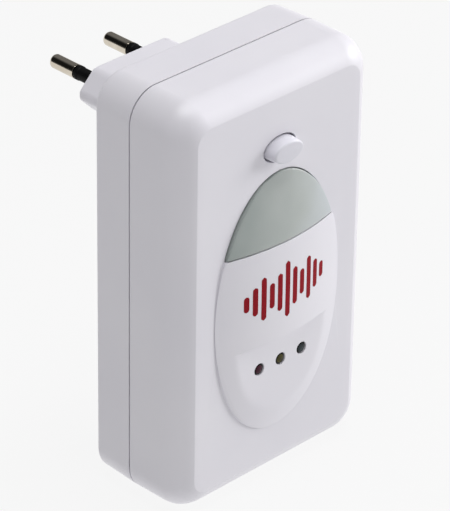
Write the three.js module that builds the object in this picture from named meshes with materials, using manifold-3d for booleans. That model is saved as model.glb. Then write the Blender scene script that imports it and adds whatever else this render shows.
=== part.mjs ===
// Plug-in ultrasonic pest repeller with a night light, as the separate pieces it is assembled from.
// Millimetres, +Z up. The front looks along -Y and the plug points along +Y, into the wall socket.
// The pieces are built around the case: y = 0 is the seam, x = z = 0 is the middle of the case.
// The exported group then puts the origin at the middle of the plug's end face.
import * as THREE from "three";
import { mergeVertices } from "three/addons/utils/BufferGeometryUtils.js";
import Module from "manifold-3d";

const wasm = await Module();
wasm.setup();

// ---- Driving dimensions -------------------------------------------------------------------------

// Case
const caseWidth = 69;
const caseHeight = 118.4;
const frontDepth = 18.5; // seam to front face
const rearDepth = 12.9; // seam to back face
const cornerRadius = 8.8; // of the outline, seen from the front
const cornerSoftening = 0.75; // how fast that radius shrinks round the front edge
const frontEdgeDepth = 8.3; // the big front edge rounding, along y
const frontEdgeWidth = 7.9; // and across the face
const rearEdgeRadius = 1;
const frontDraft = 0.2;
const rearDraft = 0.45;
const wall = 2.2;
const seamGap = 0.3;
const gap = 0.3; // between touching pieces
const lipThickness = 1.2;
const lipReach = 2.2; // how far the rear cover's lip enters the front cover
const lipRoot = 3;

// Raised oval on the front, placed by its margins to the case's outline
const ovalSideMargin = 12.4;
const ovalTopMargin = 26.5;
const ovalBottomMargin = 15.9;
const ovalStep = 0.25; // upright edge all round
const ovalRise = 3.7; // crown above that edge
const lensHeight = 19.3; // the lens fills the oval's top
const panelHeight = 28.8; // the flat indicator panel fills its bottom
const panelRise = 1.95;

// Night light lens
const lensWall = 1.8;
const lensFlangeReach = 1.4;
const lensFlangeThickness = 1.2;
const lensEarRadius = 2.6;
const lensEarRise = 6.6; // above the lens's lower edge
const stakeRadius = 1;
const stakeLength = 2.4;

// Button and switch
const buttonBelowTop = 20.1;
const buttonHoleHalfWidth = 5.65;
const buttonHoleHalfHeight = 3.5;
const buttonProud = 3.6;
const buttonEdgeRadius = 1;
const buttonDraft = 0.25;
const buttonFlangeReach = 0.5;
const buttonFlangeThickness = 1.1;
const buttonTravel = 1.2;
const plungerRadius = 1.5;
const switchSide = 7;

// Indicator and night light LEDs
const indicatorPitch = 7.75;
const indicatorDrop = 7.9; // below the panel's upper edge
const indicatorRadius = 1.45;
const indicatorSunk = 0.3; // tip below the panel
const indicatorLength = 5.2;
const lampPitch = 13;
const lampLift = 8.1; // above the lens's lower edge
const lampRadius = 2.5;
const lampLength = 8.6;

// Circuit board
const boardSetback = 9.5; // front face of the case to the board
const boardThickness = 1.6;
const boardSideMargin = 5; // case side to the board's side
const boardEndMargin = 13.2; // case end to the board's end
const boardCornerRadius = 1.5;
const boardScrewSideInset = 3.5;
const boardScrewEndInset = 6.5;
const boardPostRadius = 2.6;

// Screws
const caseScrewInset = 8.1; // from the case's sides and ends
const casePostRadius = 3.2;
const rearPostRadius = 4.3;
const headRecessDepth = 5.4;
const caseScrewRadius = 1.2;
const caseScrewHeadRadius = 2.5;
const caseScrewHeadHeight = 2;
const caseScrewLength = 15;
const boardScrewRadius = 1;
const boardScrewHeadRadius = 2;
const boardScrewHeadHeight = 1.4;
const boardScrewLength = 6;

// Sound disc
const discRadius = 12.5;
const discThickness = 0.6;
const ceramicRadius = 8.5;
const ceramicThickness = 0.6;
const discRingWall = 1.3;
const discRingReach = 2.9; // from the case's inner front face

// Two-pin plug
const plugBelowTop = 19.9;
const plugHalfWidth = 18;
const plugHalfHeight = 6.2;
const plugEndHalfHeight = 1.1; // the flat at each pointed end
const plugCornerRadius = 1.4;
const plugReach = 23.5; // back face to plug face
const plugEndBlock = 8; // solid end that holds the pins
const plugWall = 2.2;
const pinSpacing = 19;
const pinLength = 19; // beyond the plug face
const pinRadius = 2;
const pinNeckRadius = 1.2; // inside the sleeve
const pinTipRadius = 1.2;
const pinBareLength = 9.2;
const pinCollarRadius = 2.6;
const pinCollarThickness = 1.2;
const pinTailLength = 4; // inner end, past the end block
const sleeveRadius = 1.85;
const sleeveCollarRadius = 2;
const sleeveCollarLength = 1.4;
const sleeveInside = 4; // length held in the end block

// Leads
const leadRadius = 0.8;
const discLeadRadius = 0.5;

// Facets
const cornerSteps = 6;
const edgeSteps = 5;
const crownRings = 6;
const roundSides = 20;
const fineSides = 40;
const smallSides = 10;

// ---- Values that follow from them ----------------------------------------------------------------

const ovalHalfWidth = caseWidth / 2 - ovalSideMargin;
const ovalTopZ = caseHeight / 2 - ovalTopMargin;
const ovalBottomZ = ovalBottomMargin - caseHeight / 2;
const ovalHalfHeight = (ovalTopZ - ovalBottomZ) / 2;
const ovalZ = (ovalTopZ + ovalBottomZ) / 2;
const lensEdgeZ = ovalTopZ - lensHeight;
const panelEdgeZ = ovalBottomZ + panelHeight;
const lensEarZ = lensEdgeZ + lensEarRise;
const lampZ = lensEdgeZ + lampLift;
const indicatorZ = panelEdgeZ - indicatorDrop;
const discZ = (lensEdgeZ + indicatorZ) / 2;
const buttonZ = caseHeight / 2 - buttonBelowTop;
const plugZ = caseHeight / 2 - plugBelowTop;
const plugFaceY = rearDepth + plugReach;
const boardFrontY = boardSetback - frontDepth;
const boardWidth = caseWidth - 2 * boardSideMargin;
const boardHeight = caseHeight - 2 * boardEndMargin;
const boardScrewX = boardWidth / 2 - boardScrewSideInset;
const boardRearY = boardFrontY + boardThickness;
const innerFrontY = -(frontDepth - wall);
const discRingEndY = innerFrontY + discRingReach;
const innerRearY = rearDepth - wall;
const caseScrewX = caseWidth / 2 - caseScrewInset;
const caseScrewZ = caseHeight / 2 - caseScrewInset;
const boardScrewZ = boardHeight / 2 - boardScrewEndInset;
const headRecessFloorY = rearDepth - headRecessDepth;
const pinShoulderY = plugFaceY + pinLength - pinBareLength;
const endBlockY = plugFaceY - plugEndBlock;
const switchFrontY = innerFrontY + gap + buttonFlangeThickness + buttonTravel + gap;
const FAR = 200;

// ---- Finishes -------------------------------------------------------------------------------------

function finish(colour, roughness, metalness = 0, opacity = 1) {
  const transparent = opacity < 1;
  return new THREE.MeshStandardMaterial({ color: colour, roughness, metalness, opacity, transparent });
}

const finishes = {
  shell: finish(0xe4e3e8, 0.45),
  lens: finish(0xa9b0ae, 0.3, 0, 0.8),
  button: finish(0xe8e7ec, 0.4),
  blackPlastic: finish(0x17171a, 0.5),
  switchPlastic: finish(0x2b2c30, 0.5),
  nickel: finish(0xb9b1a2, 0.25, 1),
  steel: finish(0xa6a8ab, 0.35, 1),
  board: finish(0xb08a4f, 0.6),
  redLed: finish(0x7e1420, 0.25),
  yellowLed: finish(0x8f8532, 0.25),
  greenLed: finish(0x5a6a60, 0.25),
  clearLed: finish(0xdfe6ea, 0.15, 0, 0.7),
  brass: finish(0xc8a04a, 0.35, 1),
  ceramic: finish(0xd8d4c8, 0.5),
  filmCase: finish(0xd9b22e, 0.45),
  can: finish(0x24304f, 0.4),
  resistorBody: finish(0x8fa9b5, 0.5),
  diodeGlass: finish(0xa65a2c, 0.3),
  surgeCoat: finish(0x2d5d9c, 0.5),
  ferrite: finish(0x3a3a3c, 0.7),
  winding: finish(0xd6b63a, 0.5),
  redWire: finish(0xa32022, 0.5),
  blueWire: finish(0x2a4a8c, 0.5),
};

// ---- Solids ---------------------------------------------------------------------------------------

// A closed three.js geometry as a solid that can be joined and cut.
function solid(geometry) {
  const bare = geometry.index ? geometry.toNonIndexed() : geometry.clone();
  bare.deleteAttribute("normal");
  bare.deleteAttribute("uv");
  const merged = mergeVertices(bare, 1e-4);
  const vertProperties = new Float32Array(merged.attributes.position.array);
  const triVerts = new Uint32Array(merged.index.array);
  return new wasm.Manifold(new wasm.Mesh({ numProp: 3, vertProperties, triVerts }));
}

// A solid back as a three.js geometry.
function geometryOf(body) {
  const mesh = body.getMesh();
  const geometry = new THREE.BufferGeometry();
  const corners = Float32Array.from(mesh.vertProperties);
  geometry.setAttribute("position", new THREE.BufferAttribute(corners, 3));
  geometry.setIndex(new THREE.BufferAttribute(Uint32Array.from(mesh.triVerts), 1));
  geometry.computeVertexNormals();
  return geometry;
}

function join(first, ...others) {
  return others.reduce((sum, other) => sum.add(other), first);
}

function cut(first, ...others) {
  return others.reduce((rest, other) => rest.subtract(other), first);
}

// A box between two corners.
function block(x0, x1, y0, y1, z0, z1) {
  const box = new THREE.BoxGeometry(x1 - x0, y1 - y0, z1 - z0);
  return solid(box.translate((x0 + x1) / 2, (y0 + y1) / 2, (z0 + z1) / 2));
}

// A round rod along y.
function rod(radius, y0, y1, x, z, sides = roundSides) {
  const cylinder = new THREE.CylinderGeometry(radius, radius, y1 - y0, sides);
  return solid(cylinder.translate(x, (y0 + y1) / 2, z));
}

// An outline drawn in x and z, carried along y from y0 to y1.
function prism(shape, y0, y1, curveSegments = roundSides) {
  const extruded = new THREE.ExtrudeGeometry(shape, { depth: y1 - y0, bevelEnabled: false, curveSegments });
  return solid(extruded.rotateX(Math.PI / 2).translate(0, y1, 0));
}

// A profile of [radius, y] pairs, from its lowest y to its highest, turned about an upright y line.
function turned(profile, x, z, sides = roundSides) {
  const points = profile.map(([radius, y]) => new THREE.Vector2(radius, y));
  return solid(new THREE.LatheGeometry(points, sides).translate(x, 0, z));
}

// A round lead along a smooth curve through points.
function lead(points, radius, steps, sides = 8) {
  const section = new THREE.Shape().absarc(0, 0, radius, 0, 2 * Math.PI);
  const path = new THREE.CatmullRomCurve3(points.map((p) => new THREE.Vector3(...p)));
  const options = { steps, extrudePath: path, bevelEnabled: false, curveSegments: sides / 2 };
  return solid(new THREE.ExtrudeGeometry(section, options));
}

function ellipse(halfWidth, halfHeight, x, z) {
  return new THREE.Shape().absellipse(x, z, halfWidth, halfHeight, 0, 2 * Math.PI);
}

// The corner points of a rounded rectangle, anticlockwise seen from the front.
function roundedOutline(halfWidth, halfHeight, radius, steps = cornerSteps) {
  const points = [];
  const corners = [[1, -1], [1, 1], [-1, 1], [-1, -1]];
  corners.forEach(([sideX, sideZ], corner) => {
    const centreX = sideX * (halfWidth - radius);
    const centreZ = sideZ * (halfHeight - radius);
    for (let i = 0; i <= steps; i++) {
      const angle = (corner - 1 + i / steps) * (Math.PI / 2);
      const x = centreX + radius * Math.cos(angle);
      const z = centreZ + radius * Math.sin(angle);
      points.push(new THREE.Vector2(x, z));
    }
  });
  return points;
}

// A closed solid through outlines of equally many points, given from the lowest y to the highest.
function loft(sections) {
  const count = sections[0].outline.length;
  const last = sections.length - 1;
  const corners = sections.flatMap(({ y, outline }) => outline.flatMap((p) => [p.x, y, p.y]));
  const faces = [];
  for (let level = 0; level < last; level++) {
    for (let i = 0; i < count; i++) {
      const next = (i + 1) % count;
      const low = level * count;
      const high = low + count;
      faces.push(low + i, high + i, high + next);
      faces.push(low + i, high + next, low + next);
    }
  }
  for (const [a, b, c] of THREE.ShapeUtils.triangulateShape(sections[0].outline, [])) faces.push(a, b, c);
  for (const [a, b, c] of THREE.ShapeUtils.triangulateShape(sections[last].outline, [])) {
    faces.push(last * count + a, last * count + c, last * count + b);
  }
  const geometry = new THREE.BufferGeometry();
  geometry.setAttribute("position", new THREE.Float32BufferAttribute(corners, 3));
  geometry.setIndex(faces);
  return solid(geometry);
}

// One half of the case, or its hollow where inset is the wall. side is -1 for the front, 1 for the rear.
function caseHalf({ side, depth, edgeDepth, edgeWidth, softening, draft, inset, start }) {
  const end = depth - inset;
  const roundDepth = Math.max(edgeDepth - inset, 0.4);
  const roundWidth = Math.max(edgeWidth - inset, 0.4);
  const sections = [];
  const addSection = (reach, drawn) => {
    const in_ = inset + drawn + (draft * Math.max(reach, 0)) / depth;
    const radius = Math.max(cornerRadius - inset - softening * drawn, 0.5);
    const outline = roundedOutline(caseWidth / 2 - in_, caseHeight / 2 - in_, radius);
    sections.push({ y: side * reach, outline });
  };
  addSection(start, 0);
  for (let i = 0; i <= edgeSteps; i++) {
    const turn = (i / edgeSteps) * (Math.PI / 2);
    addSection(end - roundDepth * (1 - Math.sin(turn)), roundWidth * (1 - Math.cos(turn)));
  }
  return loft(side < 0 ? sections.reverse() : sections);
}

function frontHalf(inset, start) {
  const edges = { edgeDepth: frontEdgeDepth, edgeWidth: frontEdgeWidth, softening: cornerSoftening };
  return caseHalf({ side: -1, depth: frontDepth, draft: frontDraft, inset, start, ...edges });
}

function rearHalf(inset, start) {
  const edges = { edgeDepth: rearEdgeRadius, edgeWidth: rearEdgeRadius, softening: 1 };
  return caseHalf({ side: 1, depth: rearDepth, draft: rearDraft, inset, start, ...edges });
}

// A straight ring of the case's outline, between two insets.
function caseRing(outerInset, innerInset, y0, y1) {
  const bar = (inset, low, high) => {
    const outline = roundedOutline(caseWidth / 2 - inset, caseHeight / 2 - inset, cornerRadius - inset);
    return loft([{ y: low, outline }, { y: high, outline }]);
  };
  return cut(bar(outerInset, y0, y1), bar(innerInset, y0 - 1, y1 + 1));
}

// How far the raised oval stands proud of the front face at a place inside it.
function crown(x, z) {
  const across = Math.abs(x) / ovalHalfWidth;
  const along = Math.abs(z - ovalZ) / ovalHalfHeight;
  return ovalStep + ovalRise * (1 - across ** 2 - along ** 3);
}

// A crowned oval, from backY to the crown, with its edge and its crown drawn in by given amounts.
function crownedOval(edgeInset, crownInset, backY) {
  const profile = [new THREE.Vector2(0, -1)];
  for (let i = 1; i <= crownRings; i++) profile.push(new THREE.Vector2(i / crownRings, -1));
  profile.push(new THREE.Vector2(1, 1), new THREE.Vector2(0, 1));
  const geometry = new THREE.LatheGeometry(profile, fineSides);
  const position = geometry.attributes.position;
  for (let i = 0; i < position.count; i++) {
    const x = position.getX(i) * (ovalHalfWidth - edgeInset);
    const z = position.getZ(i) * (ovalHalfHeight - edgeInset) + ovalZ;
    const y = position.getY(i) < 0 ? crownInset - frontDepth - crown(x, z) : backY;
    position.setXYZ(i, x, y, z);
  }
  return solid(geometry);
}

// ---- Repeated places --------------------------------------------------------------------------------

const sides = [-1, 1];
const fourCorners = sides.flatMap((h) => sides.map((v) => [h, v]));
const caseScrewPlaces = fourCorners.map(([h, v]) => [h * caseScrewX, v * caseScrewZ]);
const boardScrewPlaces = fourCorners.map(([h, v]) => [h * boardScrewX, v * boardScrewZ]);
const indicatorPlaces = [-1, 0, 1].map((i) => [i * indicatorPitch, indicatorZ]);

function ovalHalfWidthAt(z) {
  return ovalHalfWidth * Math.sqrt(1 - ((z - ovalZ) / ovalHalfHeight) ** 2);
}

const lensEarX = ovalHalfWidthAt(lensEarZ) + lensFlangeReach + lensEarRadius / 2;
const stakePlaces = sides.map((h) => [h * lensEarX, lensEarZ]);

// ---- Covers -----------------------------------------------------------------------------------------

function raisedOval() {
  const above = block(-FAR, FAR, -FAR, -frontDepth - panelRise, -FAR, panelEdgeZ);
  return cut(crownedOval(0, 0, innerFrontY), above);
}

// The hollow behind the oval, which leaves its wall as thick as the case's.
function ovalHollow() {
  const upper = block(-FAR, FAR, -FAR, FAR, lensEdgeZ - wall, FAR);
  const panel = block(-FAR, FAR, -FAR, wall - frontDepth - panelRise, -FAR, panelEdgeZ + wall);
  return cut(crownedOval(wall, wall, innerFrontY + gap), upper, panel);
}

function lensOpening() {
  const whole = prism(ellipse(ovalHalfWidth, ovalHalfHeight, 0, ovalZ), -FAR, innerFrontY + 1, fineSides / 2);
  return cut(whole, block(-FAR, FAR, -FAR, FAR, -FAR, lensEdgeZ));
}

function frontCover() {
  const outside = join(frontHalf(0, seamGap / 2), raisedOval());
  const hollow = join(frontHalf(wall, -1), ovalHollow());
  const ringOuter = rod(discRadius, -FAR, discRingEndY, 0, discZ, fineSides);
  const ringInner = rod(discRadius - discRingWall, -FAR, FAR, 0, discZ, fineSides);
  const ring = cut(ringOuter, ringInner).intersect(outside);
  const casePosts = caseScrewPlaces.map(([x, z]) =>
    rod(casePostRadius, -frontDepth, -1.5 * seamGap, x, z).intersect(outside),
  );
  const boardPosts = boardScrewPlaces.map(([x, z]) =>
    rod(boardPostRadius, -frontDepth, boardFrontY - gap, x, z).intersect(outside),
  );
  const stakes = stakePlaces.map(([x, z]) =>
    rod(stakeRadius, innerFrontY - wall / 2, innerFrontY + stakeLength, x, z, smallSides),
  );
  const cover = join(cut(outside, hollow), ring, ...casePosts, ...boardPosts, ...stakes);
  const casePilots = caseScrewPlaces.map(([x, z]) =>
    rod(caseScrewRadius + gap, headRecessFloorY - caseScrewLength - 1, 1, x, z, smallSides),
  );
  const boardPilots = boardScrewPlaces.map(([x, z]) =>
    rod(boardScrewRadius + gap, boardRearY - boardScrewLength - 1, 1, x, z, smallSides),
  );
  const indicatorHoles = indicatorPlaces.map(([x, z]) => rod(indicatorRadius + gap, -FAR, -1, x, z));
  const buttonHole = prism(ellipse(buttonHoleHalfWidth, buttonHoleHalfHeight, 0, buttonZ), -FAR, -1);
  return cut(cover, lensOpening(), buttonHole, ...casePilots, ...boardPilots, ...indicatorHoles);
}

// The plug's long pointed outline, with rounded corners, grown or shrunk by an offset.
function plugOutline(offset) {
  const halfHeight = plugHalfHeight + offset;
  const endHalfHeight = plugEndHalfHeight + offset * Math.tan(Math.PI / 8);
  const halfWidth = plugHalfWidth + offset;
  const flatHalfWidth = halfWidth - (halfHeight - endHalfHeight);
  const corners = [
    [halfWidth, endHalfHeight],
    [flatHalfWidth, halfHeight],
    [-flatHalfWidth, halfHeight],
    [-halfWidth, endHalfHeight],
    [-halfWidth, -endHalfHeight],
    [-flatHalfWidth, -halfHeight],
    [flatHalfWidth, -halfHeight],
    [halfWidth, -endHalfHeight],
  ].map(([x, z]) => new THREE.Vector2(x, z + plugZ));
  const shape = new THREE.Shape();
  corners.forEach((corner, i) => {
    const before = corners.at(i - 1);
    const after = corners[(i + 1) % corners.length];
    const reach = Math.min(plugCornerRadius, corner.distanceTo(before) / 2.2, corner.distanceTo(after) / 2.2);
    const from = corner.clone().add(before.clone().sub(corner).setLength(reach));
    const to = corner.clone().add(after.clone().sub(corner).setLength(reach));
    if (i === 0) shape.moveTo(from.x, from.y);
    else shape.lineTo(from.x, from.y);
    shape.quadraticCurveTo(corner.x, corner.y, to.x, to.y);
  });
  shape.closePath();
  return shape;
}

function rearCover() {
  const outside = join(rearHalf(0, seamGap / 2), prism(plugOutline(0), rearDepth - wall, plugFaceY, 3));
  const hollow = rearHalf(wall, -1);
  const plugHollow = prism(plugOutline(-plugWall), innerRearY - 1, endBlockY, 3);
  const lip = join(
    caseRing(wall + gap, wall + gap + lipThickness, -lipReach, lipRoot),
    caseRing(wall - 1, wall + gap + lipThickness, seamGap / 2, lipRoot),
  );
  const posts = caseScrewPlaces.map(([x, z]) => rod(rearPostRadius, seamGap / 2, rearDepth - 1, x, z));
  const recessRadius = caseScrewHeadRadius + gap;
  const recesses = caseScrewPlaces.map(([x, z]) => rod(recessRadius, headRecessFloorY, FAR, x, z));
  const holes = caseScrewPlaces.map(([x, z]) => rod(caseScrewRadius + gap, -1, FAR, x, z, smallSides));
  const pinHoleRadius = sleeveCollarRadius + gap;
  const pinHoles = sides.map((h) => rod(pinHoleRadius, innerRearY, FAR, (h * pinSpacing) / 2, plugZ));
  const shell = cut(outside, hollow, plugHollow);
  return cut(join(shell, lip, ...posts), ...recesses, ...holes, ...pinHoles);
}

// ---- Night light lens ---------------------------------------------------------------------------------

function nightLightLens() {
  const flangeFrontY = innerFrontY + gap;
  const flangeRearY = flangeFrontY + lensFlangeThickness;
  const below = block(-FAR, FAR, -FAR, FAR, -FAR, lensEdgeZ + gap);
  const belowFlange = block(-FAR, FAR, -FAR, FAR, -FAR, lensEdgeZ - lensFlangeReach);
  const window = cut(crownedOval(gap, 0, flangeRearY), below);
  const grown = lensFlangeReach;
  const flangeShape = ellipse(ovalHalfWidth + grown, ovalHalfHeight + grown, 0, ovalZ);
  const flange = cut(prism(flangeShape, flangeFrontY, flangeRearY, fineSides / 2), belowFlange);
  const ears = stakePlaces.map(([x, z]) => rod(lensEarRadius, flangeFrontY, flangeRearY, x, z));
  const stakeHoles = stakePlaces.map(([x, z]) => rod(stakeRadius + gap, -frontDepth, 0, x, z, smallSides));
  const belowHollow = block(-FAR, FAR, -FAR, FAR, -FAR, lensEdgeZ + gap + lensWall);
  const hollow = cut(crownedOval(gap + lensWall, lensWall, 0), belowHollow);
  return cut(join(window, flange, ...ears), hollow, ...stakeHoles);
}

// ---- Button and switch --------------------------------------------------------------------------------

// A turned unit profile stretched to the button's oval.
function buttonOval(profile, halfWidth, halfHeight) {
  const points = profile.map(([reach, y]) => new THREE.Vector2(reach, y));
  const geometry = new THREE.LatheGeometry(points, roundSides);
  return solid(geometry.scale(halfWidth, 1, halfHeight).translate(0, 0, buttonZ));
}

function buttonCap() {
  const halfWidth = buttonHoleHalfWidth - gap;
  const halfHeight = buttonHoleHalfHeight - gap;
  const tipY = -frontDepth - buttonProud;
  const rearY = innerFrontY + gap + buttonFlangeThickness;
  const narrow = 1 - buttonDraft / halfHeight;
  const profile = [[0, tipY]];
  for (let i = 0; i <= edgeSteps; i++) {
    const turn = (i / edgeSteps) * (Math.PI / 2);
    const reach = narrow - (buttonEdgeRadius / halfHeight) * (1 - Math.sin(turn));
    profile.push([reach, tipY + buttonEdgeRadius * (1 - Math.cos(turn))]);
  }
  profile.push([1, -frontDepth], [1, rearY], [0, rearY]);
  const stem = buttonOval(profile, halfWidth, halfHeight);
  const flangeHalfWidth = buttonHoleHalfWidth + buttonFlangeReach;
  const flangeHalfHeight = buttonHoleHalfHeight + buttonFlangeReach;
  const flangeShape = ellipse(flangeHalfWidth, flangeHalfHeight, 0, buttonZ);
  const flange = prism(flangeShape, innerFrontY + gap, rearY);
  const socket = rod(plungerRadius + gap, innerFrontY - wall, 0, 0, buttonZ);
  return cut(join(stem, flange), socket);
}

function switchPlunger() {
  const tipY = innerFrontY - wall + gap;
  const baseY = switchFrontY + buttonTravel;
  return turned([[0, tipY], [plungerRadius, tipY], [plungerRadius, baseY], [0, baseY]], 0, buttonZ);
}

function switchBody() {
  const half = switchSide / 2;
  const body = block(-half, half, switchFrontY, boardFrontY - gap, buttonZ - half, buttonZ + half);
  const well = rod(plungerRadius + gap, -FAR, switchFrontY + 2 * buttonTravel + gap, 0, buttonZ);
  return cut(body, well);
}

// ---- Light-emitting diodes ------------------------------------------------------------------------------

// A domed LED that looks along -y, on two legs that reach down to the board.
function led(radius, tipY, baseY, x, z) {
  const rimRadius = radius * 1.15;
  const rimHeight = radius / 2;
  const profile = [[0, tipY]];
  for (let i = 1; i <= edgeSteps; i++) {
    const turn = (i / edgeSteps) * (Math.PI / 2);
    profile.push([radius * Math.sin(turn), tipY + radius * (1 - Math.cos(turn))]);
  }
  profile.push([radius, baseY - rimHeight], [rimRadius, baseY - rimHeight], [rimRadius, baseY], [0, baseY]);
  const body = turned(profile, x, z, smallSides);
  const legEndY = boardFrontY - gap;
  if (legEndY - baseY < 1) return body;
  const legs = sides.map((h) => {
    const legX = x + (h * radius) / 2;
    return block(legX - 0.25, legX + 0.25, baseY - rimHeight / 2, legEndY, z - 0.25, z + 0.25);
  });
  return join(body, ...legs);
}

function indicatorLed(index) {
  const [x, z] = indicatorPlaces[index];
  const tipY = -frontDepth - panelRise + indicatorSunk;
  return led(indicatorRadius, tipY, tipY + indicatorLength, x, z);
}

function nightLamp(side) {
  const baseY = boardFrontY - gap;
  return led(lampRadius, baseY - lampLength, baseY, (side * lampPitch) / 2, lampZ);
}

// ---- Circuit board and what stands on it ----------------------------------------------------------

function mainBoard() {
  const outline = roundedOutline(boardWidth / 2, boardHeight / 2, boardCornerRadius, 3);
  const board = loft([{ y: boardFrontY, outline }, { y: boardRearY, outline }]);
  const holes = boardScrewPlaces.map(([x, z]) => rod(boardScrewRadius + gap, -FAR, FAR, x, z, smallSides));
  return cut(board, ...holes);
}

const partY = boardRearY + gap; // where parts on the board's rear side begin

// Straight legs under a part, at places across the board.
function legs(places, thickness, topY) {
  const half = thickness / 2;
  return places.map(([x, z]) => block(x - half, x + half, partY, topY, z - half, z + half));
}

function filmCapacitor(x, z, width, height, depth) {
  const outline = roundedOutline(width / 2, height / 2, 0.8, 2);
  outline.forEach((p) => p.add(new THREE.Vector2(x, z)));
  const body = loft([{ y: partY + 0.5, outline }, { y: partY + depth, outline }]);
  const places = sides.map((h) => [x + h * (width / 2 - 1.5), z]);
  return join(body, ...legs(places, 0.8, partY + 1));
}

function filterCapacitor(x, z, radius, length) {
  const endY = partY + length;
  const groove = 0.35;
  const profile = [[0, partY], [radius - groove, partY], [radius, partY + 0.6], [radius, partY + 1.6]];
  profile.push([radius - groove, partY + 2], [radius, partY + 2.4]);
  profile.push([radius, endY - 0.5], [radius - 0.5, endY], [0, endY]);
  return turned(profile, x, z);
}

function rectifier(x, z) {
  const body = block(x - 4.2, x + 4.2, partY + 0.8, partY + 3.9, z - 3.2, z + 3.2);
  const places = fourCorners.map(([h, v]) => [x + h * 2.55, z + v * 3]);
  return join(body, ...legs(places, 0.7, partY + 2));
}

// A chip in a two-row package, with a notch at one end.
function controlChip(x, z, pinsPerRow) {
  const pitch = 2.54;
  const halfLength = (pinsPerRow * pitch) / 2;
  const body = block(x - halfLength, x + halfLength, partY + 0.6, partY + 3.8, z - 3.2, z + 3.2);
  const notch = rod(1, partY + 3.2, partY + 5, x - halfLength, z, smallSides);
  const feet = [];
  for (let i = 0; i < pinsPerRow; i++) {
    const footX = x + (i - (pinsPerRow - 1) / 2) * pitch;
    for (const v of sides) {
      const edge = z + v * 3;
      const outer = z + v * 4;
      const [z0, z1] = [Math.min(edge, outer), Math.max(edge, outer)];
      feet.push(block(footX - 0.35, footX + 0.35, partY, partY + 2.4, z0, z1));
    }
  }
  return join(cut(body, notch), ...feet);
}

const coreWidth = 16;
const coreHeight = 14;
const coreDepth = 5;
const coreLeg = 3.2;
const coreY = partY + 3;

// A closed ferrite frame with a middle leg, which lies parallel to the board.
function transformerCore(x, z) {
  const x0 = x - coreWidth / 2;
  const z0 = z - coreHeight / 2;
  const frame = block(x0, x0 + coreWidth, coreY, coreY + coreDepth, z0, z0 + coreHeight);
  const windows = sides.map((h) => {
    const inner = x + (h * coreLeg) / 2;
    const outer = x + h * (coreWidth / 2 - coreLeg / 2 - 0.4);
    const [w0, w1] = [Math.min(inner, outer), Math.max(inner, outer)];
    return block(w0, w1, -FAR, FAR, z0 + coreLeg / 2, z0 + coreHeight - coreLeg / 2);
  });
  return cut(frame, ...windows);
}

// The wound bobbin round the middle leg, with its two feet on the board.
function transformerWinding(x, z) {
  const halfWidth = coreWidth / 2 - coreLeg / 2 - 0.4 - gap;
  const halfHeight = coreHeight / 2 - coreLeg / 2 - gap;
  const y0 = coreY - 2;
  const y1 = coreY + coreDepth + 2;
  const wound = block(x - halfWidth, x + halfWidth, y0, y1, z - halfHeight, z + halfHeight);
  const halfLeg = coreLeg / 2 + gap;
  const bore = block(x - halfLeg, x + halfLeg, coreY - gap, coreY + coreDepth + gap, -FAR, FAR);
  const feet = fourCorners.map(([h, v]) => [x + h * 3.5, z + v * 4]);
  return join(cut(wound, bore), ...legs(feet, 0.8, y0 + 0.5));
}

function fuse(x, z) {
  const radius = 4.1;
  const y0 = partY + 0.6;
  const y1 = partY + 8.2;
  const profile = [[0, y0], [radius, y0], [radius, y1 - 0.4], [radius - 0.4, y1], [0, y1]];
  const places = sides.map((h) => [x + h * 2.5, z]);
  return join(turned(profile, x, z), ...legs(places, 0.7, partY + 1));
}

// A round coated disc on edge, on two legs.
function surgeDisc(x, z, radius, thickness) {
  const centreY = partY + 2.2 + radius;
  const disc = new THREE.CylinderGeometry(radius, radius, thickness, roundSides);
  const body = solid(disc.rotateX(Math.PI / 2).translate(x, centreY, z));
  const places = sides.map((h) => [x + h * 2.5, z]);
  return join(body, ...legs(places, 0.7, partY + 3.4));
}

// A part with wire ends, lying along x, with its wires bent down to the board.
function axialPart(x, z, radius, length, span) {
  const y = partY + radius + 0.6;
  const waist = radius * 0.82;
  const end = length / 2;
  const endProfile = [[radius * 0.7, end], [radius, end * 0.85], [radius, end * 0.6], [waist, end * 0.5]];
  const mirrored = endProfile.map(([r, at]) => [r, -at]);
  const profile = [[0, -end], ...mirrored, ...endProfile.reverse(), [0, end]];
  const points = profile.map(([r, at]) => new THREE.Vector2(r, at));
  const body = solid(new THREE.LatheGeometry(points, smallSides).rotateZ(Math.PI / 2).translate(x, y, z));
  const half = span / 2;
  const wire = 0.3;
  const along = block(x - half, x + half, y - wire, y + wire, z - wire, z + wire);
  const down = sides.map((h) => {
    const wireX = x + h * (half - wire);
    return block(wireX - wire, wireX + wire, partY, y, z - wire, z + wire);
  });
  return join(body, along, ...down);
}

// A small transistor: a round body with one flat side, on three legs.
function transistor(x, z) {
  const shape = new THREE.Shape().absarc(x, z, 2.3, -0.25 * Math.PI, 1.25 * Math.PI);
  shape.closePath();
  const body = prism(shape, partY + 2, partY + 6.6, smallSides);
  const places = [-1, 0, 1].map((i) => [x + i * 1.27, z]);
  return join(body, ...legs(places, 0.5, partY + 3));
}

// ---- Sound disc -----------------------------------------------------------------------------------------

const discFrontY = discRingEndY + gap;
const ceramicFrontY = discFrontY + discThickness + gap;
const ceramicRearY = ceramicFrontY + ceramicThickness;

function soundDisc() {
  return rod(discRadius, discFrontY, discFrontY + discThickness, 0, discZ, fineSides);
}

function soundCeramic() {
  return rod(ceramicRadius, ceramicFrontY, ceramicRearY, 0, discZ, fineSides);
}

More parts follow.
